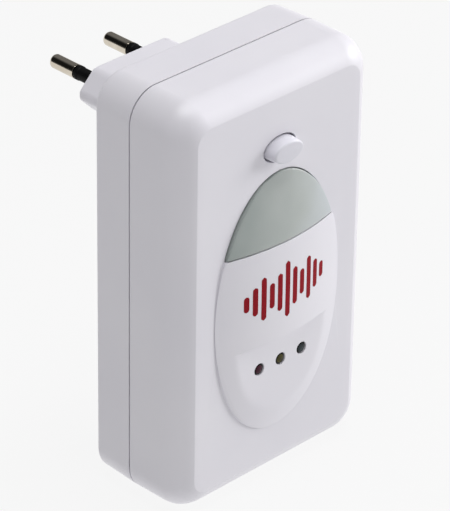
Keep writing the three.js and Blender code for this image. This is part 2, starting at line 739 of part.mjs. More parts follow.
// A thin lead from the disc to the board, bowed sideways.
function discLead(side) {
  const startX = side * (ceramicRadius - 2);
  const y0 = ceramicRearY + gap;
  const y1 = boardFrontY - gap;
  const straight = (y1 - y0) / 4;
  const points = [
    [startX, y0, discZ],
    [startX, y0 + straight, discZ],
    [startX + side * 0.3, (y0 + y1) / 2, discZ],
    [startX, y1 - straight, discZ],
    [startX, y1, discZ],
  ];
  return lead(points, discLeadRadius, 8);
}

// ---- Plug -----------------------------------------------------------------------------------------------

function plugPin(side) {
  const x = (side * pinSpacing) / 2;
  const innerY = endBlockY - pinTailLength;
  const collarY = endBlockY - gap;
  const tipY = plugFaceY + pinLength;
  const profile = [[0, innerY], [pinNeckRadius, innerY], [pinNeckRadius, collarY - pinCollarThickness]];
  profile.push([pinCollarRadius, collarY - pinCollarThickness], [pinCollarRadius, collarY]);
  profile.push([pinNeckRadius, collarY], [pinNeckRadius, pinShoulderY], [pinRadius, pinShoulderY]);
  for (let i = 0; i <= edgeSteps; i++) {
    const turn = (i / edgeSteps) * (Math.PI / 2);
    const radius = pinRadius - pinTipRadius * (1 - Math.cos(turn));
    profile.push([radius, tipY - pinTipRadius * (1 - Math.sin(turn))]);
  }
  profile.push([0, tipY]);
  return turned(profile, x, plugZ);
}

function pinSleeve(side) {
  const x = (side * pinSpacing) / 2;
  const y0 = plugFaceY - sleeveInside;
  const y1 = pinShoulderY - gap;
  const bore = pinNeckRadius + gap;
  const collarY = y1 - sleeveCollarLength;
  const profile = [[bore, y0], [sleeveRadius, y0], [sleeveRadius, collarY]];
  profile.push([sleeveCollarRadius, collarY + 0.2], [sleeveCollarRadius, y1], [bore, y1], [bore, y0]);
  return turned(profile, x, plugZ);
}

// A mains lead from the inner end of a pin, through the hollow plug, to the board.
function mainsLead(side) {
  const x = (side * pinSpacing) / 2;
  const startY = endBlockY - pinTailLength - gap;
  const points = [
    [x, startY, plugZ],
    [x, startY - 5, plugZ],
    [x, innerRearY, plugZ - 0.4],
    [x, innerRearY - 6, plugZ - 1.6],
    [x, boardRearY + 5, plugZ - 2],
    [x, partY, plugZ - 2],
  ];
  return lead(points, leadRadius, 14);
}

// ---- Screws -----------------------------------------------------------------------------------------------

// A pan-head screw along -y, with its head's seat at seatY and a crossed recess in the head.
function screw(radius, length, headRadius, headHeight, seatY, x, z) {
  const topY = seatY + headHeight;
  const pointY = seatY - length;
  const profile = [[0, pointY], [radius * 0.4, pointY], [radius, pointY + radius * 1.5]];
  profile.push([radius, seatY], [headRadius, seatY], [headRadius, seatY + headHeight * 0.5]);
  profile.push([headRadius * 0.75, topY], [0, topY]);
  const reach = headRadius * 0.6;
  const half = headRadius * 0.11;
  const slotY = topY - headHeight * 0.5;
  const across = block(x - reach, x + reach, slotY, topY + 1, z - half, z + half);
  const along = block(x - half, x + half, slotY, topY + 1, z - reach, z + reach);
  return cut(turned(profile, x, z, smallSides), across, along);
}

function caseScrew([x, z]) {
  const seatY = headRecessFloorY + gap;
  return screw(caseScrewRadius, caseScrewLength, caseScrewHeadRadius, caseScrewHeadHeight, seatY, x, z);
}

function boardScrew([x, z]) {
  const seatY = boardRearY + gap;
  return screw(boardScrewRadius, boardScrewLength, boardScrewHeadRadius, boardScrewHeadHeight, seatY, x, z);
}

// ---- Assembly ---------------------------------------------------------------------------------------------

function piece(name, body, material) {
  const mesh = new THREE.Mesh(geometryOf(body), material);
  mesh.name = name;
  return mesh;
}

const device = new THREE.Group();
device.name = "pest_repeller";
device.position.set(0, -plugFaceY, -plugZ);

const cases = new THREE.Group();
cases.add(piece("front_cover", frontCover(), finishes.shell));
cases.add(piece("rear_cover", rearCover(), finishes.shell));
cases.add(piece("night_light_lens", nightLightLens(), finishes.lens));
caseScrewPlaces.forEach((place, i) => {
  cases.add(piece(`case_screw_${i + 1}`, caseScrew(place), finishes.steel));
});

const button = new THREE.Group();
button.add(piece("button_cap", buttonCap(), finishes.button));
button.add(piece("switch_plunger", switchPlunger(), finishes.blackPlastic));

const electronics = new THREE.Group();
electronics.add(piece("main_board", mainBoard(), finishes.board));
electronics.add(piece("switch_body", switchBody(), finishes.switchPlastic));
electronics.add(piece("indicator_led_red", indicatorLed(0), finishes.redLed));
electronics.add(piece("indicator_led_yellow", indicatorLed(1), finishes.yellowLed));
electronics.add(piece("indicator_led_green", indicatorLed(2), finishes.greenLed));
electronics.add(piece("night_light_led_left", nightLamp(-1), finishes.clearLed));
electronics.add(piece("night_light_led_right", nightLamp(1), finishes.clearLed));
electronics.add(piece("film_capacitor", filmCapacitor(-14, 22, 18, 8.5, 13), finishes.filmCase));
electronics.add(piece("filter_capacitor", filterCapacitor(16, 8, 5, 12.5), finishes.can));
electronics.add(piece("rectifier", rectifier(-18, 8), finishes.blackPlastic));
electronics.add(piece("fuse", fuse(-18, 34), finishes.blackPlastic));
electronics.add(piece("surge_disc", surgeDisc(18, 30, 4.5, 3), finishes.surgeCoat));
electronics.add(piece("control_chip", controlChip(-6, -12, 7), finishes.blackPlastic));
electronics.add(piece("transformer_core", transformerCore(-12, -30), finishes.ferrite));
electronics.add(piece("transformer_winding", transformerWinding(-12, -30), finishes.winding));
electronics.add(piece("power_resistor", axialPart(16, 19, 2.2, 11, 17), finishes.resistorBody));
electronics.add(piece("bleed_resistor", axialPart(-14, 14.5, 1.2, 6.4, 11), finishes.resistorBody));
electronics.add(piece("timing_resistor", axialPart(16, -5, 1.2, 6.4, 11), finishes.resistorBody));
electronics.add(piece("indicator_resistor", axialPart(16, -10, 1.2, 6.4, 11), finishes.resistorBody));
electronics.add(piece("zener_diode", axialPart(2, 2, 1, 4.2, 9), finishes.diodeGlass));
electronics.add(piece("transistor_1", transistor(8, -26), finishes.blackPlastic));
electronics.add(piece("transistor_2", transistor(17, -26), finishes.blackPlastic));
electronics.add(piece("sound_disc", soundDisc(), finishes.brass));
electronics.add(piece("sound_ceramic", soundCeramic(), finishes.ceramic));
electronics.add(piece("sound_lead_red", discLead(-1), finishes.redWire));
electronics.add(piece("sound_lead_blue", discLead(1), finishes.blueWire));
boardScrewPlaces.forEach((place, i) => {
  electronics.add(piece(`board_screw_${i + 1}`, boardScrew(place), finishes.steel));
});

const plug = new THREE.Group();
const sideNames = { "-1": "left", 1: "right" };
for (const side of sides) {
  plug.add(piece(`plug_pin_${sideNames[side]}`, plugPin(side), finishes.nickel));
  plug.add(piece(`pin_sleeve_${sideNames[side]}`, pinSleeve(side), finishes.blackPlastic));
}
plug.add(piece("mains_lead_blue", mainsLead(-1), finishes.blueWire));
plug.add(piece("mains_lead_red", mainsLead(1), finishes.redWire));

device.add(cases, button, electronics, plug);

export default device;
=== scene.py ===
"""A plug-in ultrasonic pest repeller with a night light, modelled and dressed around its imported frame.

Lengths in the classes are millimetres from the middle of the case at its seam: x to the right, y towards
the wall socket, z up. A finished piece is brought into the frame, in metres, as its last step.
"""
import logging
import math
from dataclasses import dataclass, field
from enum import Enum
from typing import Callable, Iterable, Sequence

import bmesh
import bpy
from mathutils import Matrix, Vector


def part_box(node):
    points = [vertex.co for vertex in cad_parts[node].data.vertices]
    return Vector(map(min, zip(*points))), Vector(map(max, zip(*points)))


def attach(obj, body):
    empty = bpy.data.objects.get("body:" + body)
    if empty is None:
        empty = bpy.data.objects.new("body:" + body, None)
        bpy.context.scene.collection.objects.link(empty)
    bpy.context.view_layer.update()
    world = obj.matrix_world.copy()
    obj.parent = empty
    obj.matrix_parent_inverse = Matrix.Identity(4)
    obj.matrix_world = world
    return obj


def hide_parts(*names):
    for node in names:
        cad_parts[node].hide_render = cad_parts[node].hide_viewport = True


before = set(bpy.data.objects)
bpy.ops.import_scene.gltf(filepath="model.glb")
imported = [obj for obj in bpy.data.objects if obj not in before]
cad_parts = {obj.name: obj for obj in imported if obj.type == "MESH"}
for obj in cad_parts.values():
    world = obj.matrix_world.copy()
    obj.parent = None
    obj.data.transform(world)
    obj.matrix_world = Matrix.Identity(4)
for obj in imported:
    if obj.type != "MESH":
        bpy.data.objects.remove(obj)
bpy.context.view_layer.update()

log = logging.getLogger("repeller")

MM = 0.001
SEAM_GAP = 0.3
SEAM_SHOWN = 0.44
GAP = 0.3
SHARP_ANGLE = math.radians(32)
NOISE_MIDDLE = (0.3, 0.7)

Point = tuple[float, float, float]
Vertices = list[bmesh.types.BMVert]


class Body(Enum):
    """The two bodies of the frame that a piece can ride on."""

    CASE = "case"
    BUTTON = "button"


class Join(Enum):
    """What a tool solid does to the piece it is used on."""

    ADD = "UNION"
    CUT = "DIFFERENCE"


class Side(Enum):
    """Left and right as seen from the front."""

    LEFT = -1
    RIGHT = 1


# ---- Finishes ------------------------------------------------------------------------------------


def tone(code: str) -> tuple[float, float, float, float]:
    """A colour as the shader wants it.

    Args:
        code: Six hexadecimal digits, as a paint chart gives them.

    Returns:
        Linear red, green and blue, and full opacity.
    """
    parts = [int(code[i:i + 2], 16) / 255 for i in (0, 2, 4)]
    linear = [p / 12.92 if p <= 0.04045 else ((p + 0.055) / 1.055) ** 2.4 for p in parts]
    return (linear[0], linear[1], linear[2], 1.0)


class NodeSheet:
    """The nodes of one material, with its shader at the end and object coordinates at the start."""

    def __init__(self, name: str) -> None:
        """Starts an empty material.

        Args:
            name: The finish's name.
        """
        self.material = bpy.data.materials.new(name)
        self.material.use_nodes = True
        self.tree = self.material.node_tree
        self.shader = next(n for n in self.tree.nodes if n.type == "BSDF_PRINCIPLED")
        self.place = self.add("ShaderNodeTexCoord").outputs["Object"]

    def add(self, kind: str, **settings: object) -> bpy.types.Node:
        """Adds a node.

        Args:
            kind: The node's type.
            settings: Properties of the node.

        Returns:
            The new node.
        """
        node = self.tree.nodes.new(kind)
        for key, value in settings.items():
            setattr(node, key, value)
        return node

    def link(self, start: bpy.types.NodeSocket, end: bpy.types.NodeSocket) -> None:
        """Joins an output to an input."""
        self.tree.links.new(start, end)

    def set(self, **values: object) -> None:
        """Sets plain values on the shader's own sockets, with underscores for blanks in their names."""
        for key, value in values.items():
            self.shader.inputs[key.replace("_", " ")].default_value = value

    def stretched(self, factors: Point) -> bpy.types.NodeSocket:
        """Coordinates that run faster along some axes.

        Args:
            factors: The scale along x, y and z.

        Returns:
            The socket that gives the stretched coordinates.
        """
        mapping = self.add("ShaderNodeMapping")
        mapping.inputs["Scale"].default_value = factors
        self.link(self.place, mapping.inputs["Vector"])
        return mapping.outputs["Vector"]

    def noise(self, scale: float, detail: float = 3.0,
              place: bpy.types.NodeSocket | None = None) -> bpy.types.NodeSocket:
        """Cloudy noise.

        Args:
            scale: Clouds per metre.
            detail: How many finer layers it has.
            place: Other coordinates than the object's own.

        Returns:
            The socket that gives the noise, from 0 to 1.
        """
        node = self.add("ShaderNodeTexNoise")
        node.inputs["Scale"].default_value = scale
        node.inputs["Detail"].default_value = detail
        self.link(place or self.place, node.inputs["Vector"])
        return node.outputs["Fac"]

    def between(self, source: bpy.types.NodeSocket, start: float, end: float, low: float = 0.0,
                high: float = 1.0) -> bpy.types.NodeSocket:
        """Brings a range of values to another range.

        Args:
            source: The socket to read.
            start: The value that gives the low end.
            end: The value that gives the high end.
            low: The low end of the result.
            high: The high end of the result.

        Returns:
            The socket that gives the result.
        """
        node = self.add("ShaderNodeMapRange")
        for name, value in (("From Min", start), ("From Max", end), ("To Min", low), ("To Max", high)):
            node.inputs[name].default_value = value
        self.link(source, node.inputs["Value"])
        return node.outputs["Result"]

    def paint(self, source: bpy.types.NodeSocket, stops: Sequence[tuple[float, str]],
              mode: str = "LINEAR") -> None:
        """Colours the surface by value.

        Args:
            source: The socket to read.
            stops: Places from 0 to 1 and their colours.
            mode: How it goes from one colour to the next.
        """
        node = self.add("ShaderNodeValToRGB")
        bar = node.color_ramp
        bar.interpolation = mode
        while len(bar.elements) < len(stops):
            bar.elements.new(0.5)
        for element, (at, code) in zip(bar.elements, stops):
            element.position = at
            element.color = tone(code)
        self.link(source, node.inputs["Fac"])
        self.link(node.outputs["Color"], self.shader.inputs["Base Color"])

    def roughen(self, source: bpy.types.NodeSocket, limits: tuple[float, float]) -> None:
        """Spreads the roughness between two limits, by the middle of a noise."""
        self.link(self.between(source, *NOISE_MIDDLE, *limits), self.shader.inputs["Roughness"])

    def bump(self, height: bpy.types.NodeSocket, depth_mm: float) -> None:
        """Raises the surface's fine relief.

        Args:
            height: The socket that gives the relief, from 0 to 1.
            depth_mm: How deep it is.
        """
        node = self.add("ShaderNodeBump")
        node.inputs["Distance"].default_value = depth_mm * MM
        self.link(height, node.inputs["Height"])
        self.link(node.outputs["Normal"], self.shader.inputs["Normal"])


@dataclass(frozen=True)
class TwoTone:
    """A finish that drifts between two near tones."""

    name: str
    light: str
    dark: str

    def start(self, clouds: float, detail: float) -> NodeSheet:
        """Starts the material with its two tones in clouds.

        Args:
            clouds: Clouds per metre.
            detail: How many finer layers they have.

        Returns:
            The material's nodes.
        """
        sheet = NodeSheet(self.name)
        sheet.paint(sheet.noise(clouds, detail), list(zip(NOISE_MIDDLE, (self.dark, self.light))))
        return sheet


@dataclass(frozen=True)
class MouldedPlastic(TwoTone):
    """Injection-moulded plastic with a fine spark-eroded grain and faint clouding."""

    roughness: tuple[float, float] = (0.36, 0.46)
    grain_mm: float = 0.35
    grain_depth: float = 0.004

    def build(self) -> bpy.types.Material:
        """Makes the material."""
        sheet = self.start(28, 4)
        sheet.roughen(sheet.noise(160, 3), self.roughness)
        sheet.bump(sheet.noise(1 / (self.grain_mm * MM), 2), self.grain_depth)
        sheet.set(IOR=1.53, Specular_IOR_Level=0.42)
        return sheet.material


@dataclass(frozen=True)
class FrostedPlastic:
    """Tinted, frosted plastic with painted light: its tint grows lighter towards one side, standing in for
    the light that falls on the window from that side.
    """

    name: str
    tints_shaded_to_lit: tuple[str, str, str]
    reach: float
    painted_light_towards: Point
    clear: float
    roughness: tuple[float, float]

    def build(self) -> bpy.types.Material:
        """Makes the material."""
        sheet = NodeSheet(self.name)
        reach = self.reach * MM
        # Painted light: the tint runs from darker to lighter along this direction, standing in for the light
        # that falls on the window from the right.
        across = sheet.add("ShaderNodeVectorMath", operation="DOT_PRODUCT")
        across.inputs[1].default_value = self.painted_light_towards
        sheet.link(sheet.place, across.inputs[0])
        clouds = sheet.add("ShaderNodeMath", operation="MULTIPLY_ADD")
        clouds.inputs[1].default_value = 1.2 * reach
        sheet.link(sheet.noise(70, 2), clouds.inputs[0])
        sheet.link(across.outputs["Value"], clouds.inputs[2])
        share = sheet.between(clouds.outputs["Value"], -0.1 * reach, 1.9 * reach)
        sheet.paint(share, list(zip((0.0, 0.5, 1.0), self.tints_shaded_to_lit)))
        sheet.roughen(sheet.noise(300, 4), self.roughness)
        sheet.bump(sheet.noise(3200, 2), 0.003)
        sheet.set(IOR=1.49, Transmission_Weight=self.clear)
        return sheet.material


@dataclass(frozen=True)
class Metal(TwoTone):
    """Bare or plated metal, with fine lines along the way it was drawn or turned."""

    roughness: tuple[float, float]
    stretch: Point = (1.0, 1.0, 1.0)
    line_depth: float = 0.002

    def build(self) -> bpy.types.Material:
        """Makes the material."""
        sheet = self.start(220, 4)
        lines = sheet.noise(900, 4, sheet.stretched(self.stretch))
        sheet.roughen(lines, self.roughness)
        sheet.bump(lines, self.line_depth)
        sheet.set(Metallic=1.0)
        return sheet.material


@dataclass(frozen=True)
class Epoxy(TwoTone):
    """Clear or tinted casting resin, as on a small lamp."""

    clear: float = 0.5
    shine: float = 0.5

    def build(self) -> bpy.types.Material:
        """Makes the material."""
        sheet = self.start(400, 3)
        sheet.roughen(sheet.noise(700, 2), (0.1, 0.2))
        sheet.bump(sheet.noise(1500, 2), 0.002)
        sheet.set(IOR=1.52, Transmission_Weight=self.clear, Specular_IOR_Level=self.shine)
        return sheet.material


@dataclass(frozen=True)
class Coating(TwoTone):
    """A lacquered, dipped, sintered or printed surface with an uneven skin."""

    roughness: tuple[float, float] = (0.4, 0.55)
    spot_mm: float = 1.2
    depth: float = 0.01
    stretch: Point = (1.0, 1.0, 1.0)
    shine: float = 0.5

    def build(self) -> bpy.types.Material:
        """Makes the material."""
        sheet = NodeSheet(self.name)
        sheet.set(Specular_IOR_Level=self.shine)
        spots = sheet.noise(1 / (self.spot_mm * MM), 5, sheet.stretched(self.stretch))
        sheet.paint(spots, [(0.32, self.dark), (0.68, self.light)])
        sheet.roughen(sheet.noise(500, 3), self.roughness)
        sheet.bump(spots, self.depth)
        return sheet.material


@dataclass(frozen=True)
class Wound(TwoTone):
    """Turns of thin wire or tape side by side."""

    turns_per_mm: float
    roughness: tuple[float, float] = (0.3, 0.5)

    def build(self) -> bpy.types.Material:
        """Makes the material."""
        sheet = NodeSheet(self.name)
        wave = sheet.add("ShaderNodeTexWave", bands_direction="Z", wave_profile="SIN")
        wave.inputs["Scale"].default_value = self.turns_per_mm * 1000 * math.pi / 10
        wave.inputs["Distortion"].default_value = 0.6
        wave.inputs["Detail"].default_value = 1.0
        sheet.link(sheet.place, wave.inputs["Vector"])
        sheet.paint(wave.outputs["Fac"], [(0.1, self.dark), (0.75, self.light)])
        sheet.roughen(sheet.noise(350, 3), self.roughness)
        sheet.bump(wave.outputs["Fac"], 0.06)
        return sheet.material


@dataclass(frozen=True)
class Banded:
    """A small part with painted rings round it, which lies along x."""

    name: str
    ground: str
    rings: tuple[str, ...]
    roughness: tuple[float, float] = (0.35, 0.5)
    cap: str = "a9aaac"

    def build_for(self, low: float, high: float) -> bpy.types.Material:
        """Makes the material for a part of known length.

        Args:
            low: The part's left end in the frame, in metres.
            high: Its right end.

        Returns:
            The material.
        """
        sheet = NodeSheet(self.name)
        split = sheet.add("ShaderNodeSeparateXYZ")
        sheet.link(sheet.place, split.inputs["Vector"])
        share = sheet.between(split.outputs["X"], low, high)
        stops = [(0.0, self.cap), (0.22, self.ground)]
        for number, ring in enumerate(self.rings):
            start = 0.3 + number * 0.11
            stops += [(start, ring), (start + 0.05, self.ground)]
        stops.append((0.78, self.cap))
        sheet.paint(share, stops, "CONSTANT")
        sheet.roughen(sheet.noise(900, 3), self.roughness)
        sheet.bump(sheet.noise(1600, 2), 0.006)
        return sheet.material


class Finishes:
    """Every finish of the device, each made once."""

    def __init__(self) -> None:
        """Makes the materials."""
        self.shell = MouldedPlastic("white_abs", "e6e4ea", "e2e0e7").build()
        self.button = MouldedPlastic("button_abs", "dcdbe3", "d8d7df", (0.3, 0.4), 0.3, 0.003).build()
        # The window's tint grows lighter towards its right side: painted light, standing in for the key light
        # from the right.
        self.lens = FrostedPlastic("night_light_window", ("9ca6a3", "b9bfbc", "cbd1d5"), 22.0,
                                   (1.0, 0.0, -0.35), 0.1, (0.3, 0.4)).build()
        self.mark = Coating("dark_red_ink", "980c1d", "820918", (0.5, 0.6), 0.5, 0.004, shine=0.1).build()
        self.black = Coating("black_nylon", "0b0b0c", "060607", (0.5, 0.6), 1.2, 0.004, shine=0.12).build()
        # Near-black resin for the outer ring of each indicator lamp's front: painted shade of the gap round
        # the lamp in its hole.
        self.painted_shade_lamp_ring = Epoxy("painted_shade_lamp_edge", "070708", "040405", 0.0, 0.12).build()
        self.nickel = Metal("nickel_plate", "dcd4c6", "c9bfae", (0.08, 0.18), (1.0, 0.05, 1.0)).build()
        self.steel = Metal("zinc_plated_steel", "b4b7ba", "9da1a5", (0.22, 0.38), (0.2, 1.0, 0.2)).build()
        self.tinned = Metal("tinned_wire", "c2c4c6", "a8abae", (0.25, 0.4)).build()
        self.lamps = {
            "red": Epoxy("red_lamp", "48142a", "240a14", 0.0, 0.12).build(),
            "yellow": Epoxy("yellow_lamp", "544f24", "2e2a12", 0.0, 0.12).build(),
            "green": Epoxy("green_lamp", "343c40", "1c2124", 0.0, 0.12).build(),
            "clear": Epoxy("clear_lamp", "eef2f2", "dfe6e6", 0.85).build(),
        }


# ---- Shaping -------------------------------------------------------------------------------------


def frame_origin() -> Vector:
    """Where the middle of the case at its seam lies in the frame, in metres."""
    low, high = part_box("front_cover")
    return Vector(((low.x + high.x) / 2, high.y + SEAM_GAP / 2 * MM, (low.z + high.z) / 2))


def quarter(steps: int) -> list[tuple[float, float]]:
    """The shares of a round edge, from its start along the wall to its end along the face.

    Args:
        steps: How many facets the edge has.

    Returns:
        Pairs of how far it has gone along the wall and across the face, each from 0 to 1.
    """
    turns = [i / steps * math.pi / 2 for i in range(steps + 1)]
    return [(math.sin(t), 1 - math.cos(t)) for t in turns]


def even(count: int) -> tuple[float, ...]:
    """Even shares from 0 to 1, with both ends."""
    return tuple(i / count for i in range(count + 1))


def put(name: str, data: bpy.types.ID) -> bpy.types.Object:
    """Puts an object into the scene.

    Args:
        name: Its name.
        data: Its mesh, lamp or camera.

    Returns:
        The object.
    """
    thing = bpy.data.objects.new(name, data)
    bpy.context.scene.collection.objects.link(thing)
    return thing


def bend(parts: Sequence[tuple[float, float, int]]) -> list[tuple[float, float]]:
    """A section made of arcs that follow on from each other, from the side wall round to the face.

    Args:
        parts: Each arc's radius, the angle where it ends, in degrees from the side wall, and its facets.

    Returns:
        Pairs of how far it has gone along the wall and across the face.
    """
    found = [(0.0, 0.0)]
    start = 0.0
    for radius, end, steps in parts:
        along, across = found[-1]
        first, last = math.radians(start), math.radians(end)
        for i in range(1, steps + 1):
            turn = first + (last - first) * i / steps
            found.append((along + radius * (math.sin(turn) - math.sin(first)),
                          across + radius * (math.cos(first) - math.cos(turn))))
        start = end
    return found


@dataclass(frozen=True)
class Outline:
    """A rounded rectangle seen from the front."""

    half_width: float
    half_height: float
    radius: float

    def drawn_in(self, inset: float, softening: float = 1.0) -> "Outline":
        """The same outline further in.

        Args:
            inset: How far in.
            softening: How much of that the corner radius loses.

        Returns:
            The smaller outline.
        """
        radius = max(self.radius - inset * softening, 0.4)
        return Outline(self.half_width - inset, self.half_height - inset, radius)

    def points(self, y: float, steps: int = 18) -> list[Point]:
        """Its corner points at a level.

        Args:
            y: The level.
            steps: Facets in each corner.

        Returns:
            The points, in order round the outline.
        """
        found = []
        for corner, (side_x, side_z) in enumerate(((1, -1), (1, 1), (-1, 1), (-1, -1))):
            for i in range(steps + 1):
                angle = (corner - 1 + i / steps) * math.pi / 2
                x = side_x * (self.half_width - self.radius) + self.radius * math.cos(angle)
                z = side_z * (self.half_height - self.radius) + self.radius * math.sin(angle)
                found.append((x, y, z))
        return found


def oval_points(half_width: float, half_height: float, y: float, centre_z: float,
                steps: int = 72) -> list[Point]:
    """The points of an upright oval.

    Args:
        half_width: Half its width.
        half_height: Half its height.
        y: Its level.
        centre_z: The height of its centre.
        steps: How many points it has.

    Returns:
        The points, in order round the oval.
    """
    turns = [i / steps * 2 * math.pi for i in range(steps)]
    return [(half_width * math.cos(t), y, centre_z + half_height * math.sin(t)) for t in turns]


class Skin:
    """A piece's mesh while it is shaped."""

    def __init__(self) -> None:
        """Starts an empty mesh."""
        self.mesh = bmesh.new()

    def ring(self, points: Sequence[Point]) -> Vertices:
        """A closed ring of edges through points.

        Args:
            points: Where its corners are, in order.

        Returns:
            Its corners.
        """
        made = bmesh.ops.create_circle(self.mesh, cap_ends=False, radius=1.0, segments=len(points))
        for corner, point in zip(made["verts"], points):
            corner.co = point
        return made["verts"]

    def chain(self, points: Sequence[Point]) -> Vertices:
        """An open chain of edges through points, drawn out corner by corner.

        Args:
            points: Where its corners are, in order.

        Returns:
            Its corners.
        """
        corners = bmesh.ops.create_vert(self.mesh, co=points[0])["vert"]
        for point in points[1:]:
            made = bmesh.ops.extrude_vert_indiv(self.mesh, verts=[corners[-1]])
            made["verts"][0].co = point
            corners.append(made["verts"][0])
        return corners

    def pull(self, row: Vertices, points: Sequence[Point], closed: bool = True) -> Vertices:
        """Draws a row of edges out into a strip of faces.

        Args:
            row: The corners of the row, in order.
            points: Where the new corners go.
            closed: Whether the row is a ring.

        Returns:
            The new corners, in the same order.
        """
        pairs = list(zip(row, row[1:])) + ([(row[-1], row[0])] if closed else [])
        edges = [self.mesh.edges.get(pair) for pair in pairs]
        made = bmesh.ops.extrude_edge_only(self.mesh, edges=edges)
        fresh = {item for item in made["geom"] if isinstance(item, bmesh.types.BMVert)}
        following = []
        for corner in row:
            others = (edge.other_vert(corner) for edge in corner.link_edges)
            following.append(next(other for other in others if other in fresh))
        for corner, point in zip(following, points):
            corner.co = point
        return following

    def loft(self, row: Vertices, levels: Iterable[Sequence[Point]], closed: bool = True) -> Vertices:
        """Draws a row out through several levels.

        Args:
            row: The corners it starts from.
            levels: Where the corners of each level go.
            closed: Whether the row is a ring.

        Returns:
            The corners of the last level.
        """
        for points in levels:
            row = self.pull(row, points, closed)
        return row

    def cap(self, row: Vertices) -> None:
        """Closes a ring with one face."""
        edges = [self.mesh.edges.get(pair) for pair in zip(row, row[1:] + row[:1])]
        bmesh.ops.contextual_create(self.mesh, geom=edges)

    def weld(self, distance: float = 0.002) -> None:
        """Makes one corner of those that lie together."""
        bmesh.ops.remove_doubles(self.mesh, verts=list(self.mesh.verts), dist=distance)
        bmesh.ops.dissolve_degenerate(self.mesh, edges=list(self.mesh.edges), dist=distance / 4)

    def fill_level(self, y: float) -> None:
        """Closes a flat face, with its holes, between all the open edges at a level."""
        rim = []
        for edge in self.mesh.edges:
            if len(edge.link_faces) == 1 and all(abs(v.co.y - y) < 1e-3 for v in edge.verts):
                rim.append(edge)
        bmesh.ops.triangle_fill(self.mesh, use_beauty=True, use_dissolve=False, edges=rim, normal=(0, -1, 0))

    def turned(self, profile: Sequence[tuple[float, float]], x: float, z: float, steps: int = 48,
               flatten: float = 1.0) -> None:
        """A profile turned about a line along y.

        Args:
            profile: Pairs of radius and y.
            x: Where the line is.
            z: Its height.
            steps: How many facets the round has.
            flatten: The height of the round as a share of its width.
        """
        start = len(self.mesh.verts)
        corners = self.chain([(radius, y, 0.0) for radius, y in profile])
        edges = [self.mesh.edges.get(pair) for pair in zip(corners, corners[1:])]
        bmesh.ops.spin(self.mesh, geom=corners + edges, cent=(0, 0, 0), axis=(0, 1, 0), angle=2 * math.pi,
                       steps=steps, use_merge=True)
        self.mesh.verts.ensure_lookup_table()
        made = self.mesh.verts[start:]
        bmesh.ops.scale(self.mesh, vec=(1, 1, flatten), verts=made)
        bmesh.ops.translate(self.mesh, vec=(x, 0, z), verts=made)
        bmesh.ops.remove_doubles(self.mesh, verts=made, dist=0.002)

    def block(self, low: Point, high: Point, edge: float = 0.0) -> None:
        """A box between two corners.

        Args:
            low: Its lowest corner.
            high: Its highest corner.
            edge: The radius of its edges.
        """
        made = bmesh.ops.create_cube(self.mesh, size=1.0)["verts"]
        bmesh.ops.scale(self.mesh, vec=[b - a for a, b in zip(low, high)], verts=made)
        bmesh.ops.translate(self.mesh, vec=[(a + b) / 2 for a, b in zip(low, high)], verts=made)
        if edge:
            edges = list({e for v in made for e in v.link_edges})
            bmesh.ops.bevel(self.mesh, geom=edges, offset=edge, affect="EDGES", segments=3, profile=0.5,
                            material=-1)

    def face_out(self) -> None:
        """Turns every face outwards."""
        bmesh.ops.recalc_face_normals(self.mesh, faces=list(self.mesh.faces))

    def as_object(self, name: str) -> bpy.types.Object:
        """The mesh as an object of the scene."""
        data = bpy.data.meshes.new(name)
        self.mesh.to_mesh(data)
        return put(name, data)

    def use(self, join: Join, tools: Sequence["Skin"]) -> None:
        """Joins solids to the piece, or cuts them out of it.

        Args:
            join: Which of the two.
            tools: The solids.
        """
        self.face_out()
        base = self.as_object("base")
        helpers = []
        for number, tool in enumerate(tools):
            tool.face_out()
            helper = tool.as_object(f"tool_{number}")
            modifier = base.modifiers.new(f"use_{number}", "BOOLEAN")
            modifier.operation = join.value
            modifier.solver = "EXACT"
            modifier.object = helper
            helpers.append(helper)
        view = bpy.context.evaluated_depsgraph_get()
        result = bpy.data.meshes.new_from_object(base.evaluated_get(view))
        self.mesh.clear()
        self.mesh.from_mesh(result)
        bpy.data.meshes.remove(result)
        for thing in [base, *helpers]:
            data = thing.data
            bpy.data.objects.remove(thing)
            bpy.data.meshes.remove(data)
        for tool in tools:
            tool.mesh.free()
        self.weld(0.001)

    def finish(self, name: str, body: Body, materials: Sequence[bpy.types.Material], slot: str | None = None,
               replaces: Sequence[str] = ()) -> None:
        """Brings the mesh into the frame as a finished piece.

        Args:
            name: The piece's name.
            body: The body it rides on.
            materials: Its finishes.
            slot: The record's material slot; not used.
            replaces: The frame's nodes that it stands for.
        """
        self.face_out()
        for face in self.mesh.faces:
            face.smooth = True
        for edge in self.mesh.edges:
            edge.smooth = len(edge.link_faces) == 2 and edge.calc_face_angle(0.0) < SHARP_ANGLE
        matrix = Matrix.Translation(frame_origin()) @ Matrix.Scale(MM, 4)
        bmesh.ops.transform(self.mesh, matrix=matrix, verts=list(self.mesh.verts))
        piece = self.as_object(name)
        open_edges = sum(1 for e in self.mesh.edges if len(e.link_faces) != 2)
        self.mesh.free()
        for material in materials:
            piece.data.materials.append(material)
        weights = piece.modifiers.new("even_shading", "WEIGHTED_NORMAL")
        weights.keep_sharp = True
        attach(piece, body.value)
        if replaces:
            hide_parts(*replaces)
        triangles = sum(len(p.vertices) - 2 for p in piece.data.polygons)
        log.info("%s: %d triangles, %d open edges", name, triangles, open_edges)


def rod(radius: float, y0: float, y1: float, x: float, z: float, steps: int = 48) -> Skin:
    """A round rod along y.

    Args:
        radius: Its radius.
        y0: Its front end.
        y1: Its rear end.
        x: Its place across.
        z: Its height.
        steps: How many facets the round has.

    Returns:
        The rod.
    """
    skin = Skin()
    skin.turned([(0, y0), (radius, y0), (radius, y1), (0, y1)], x, z, steps)
    return skin


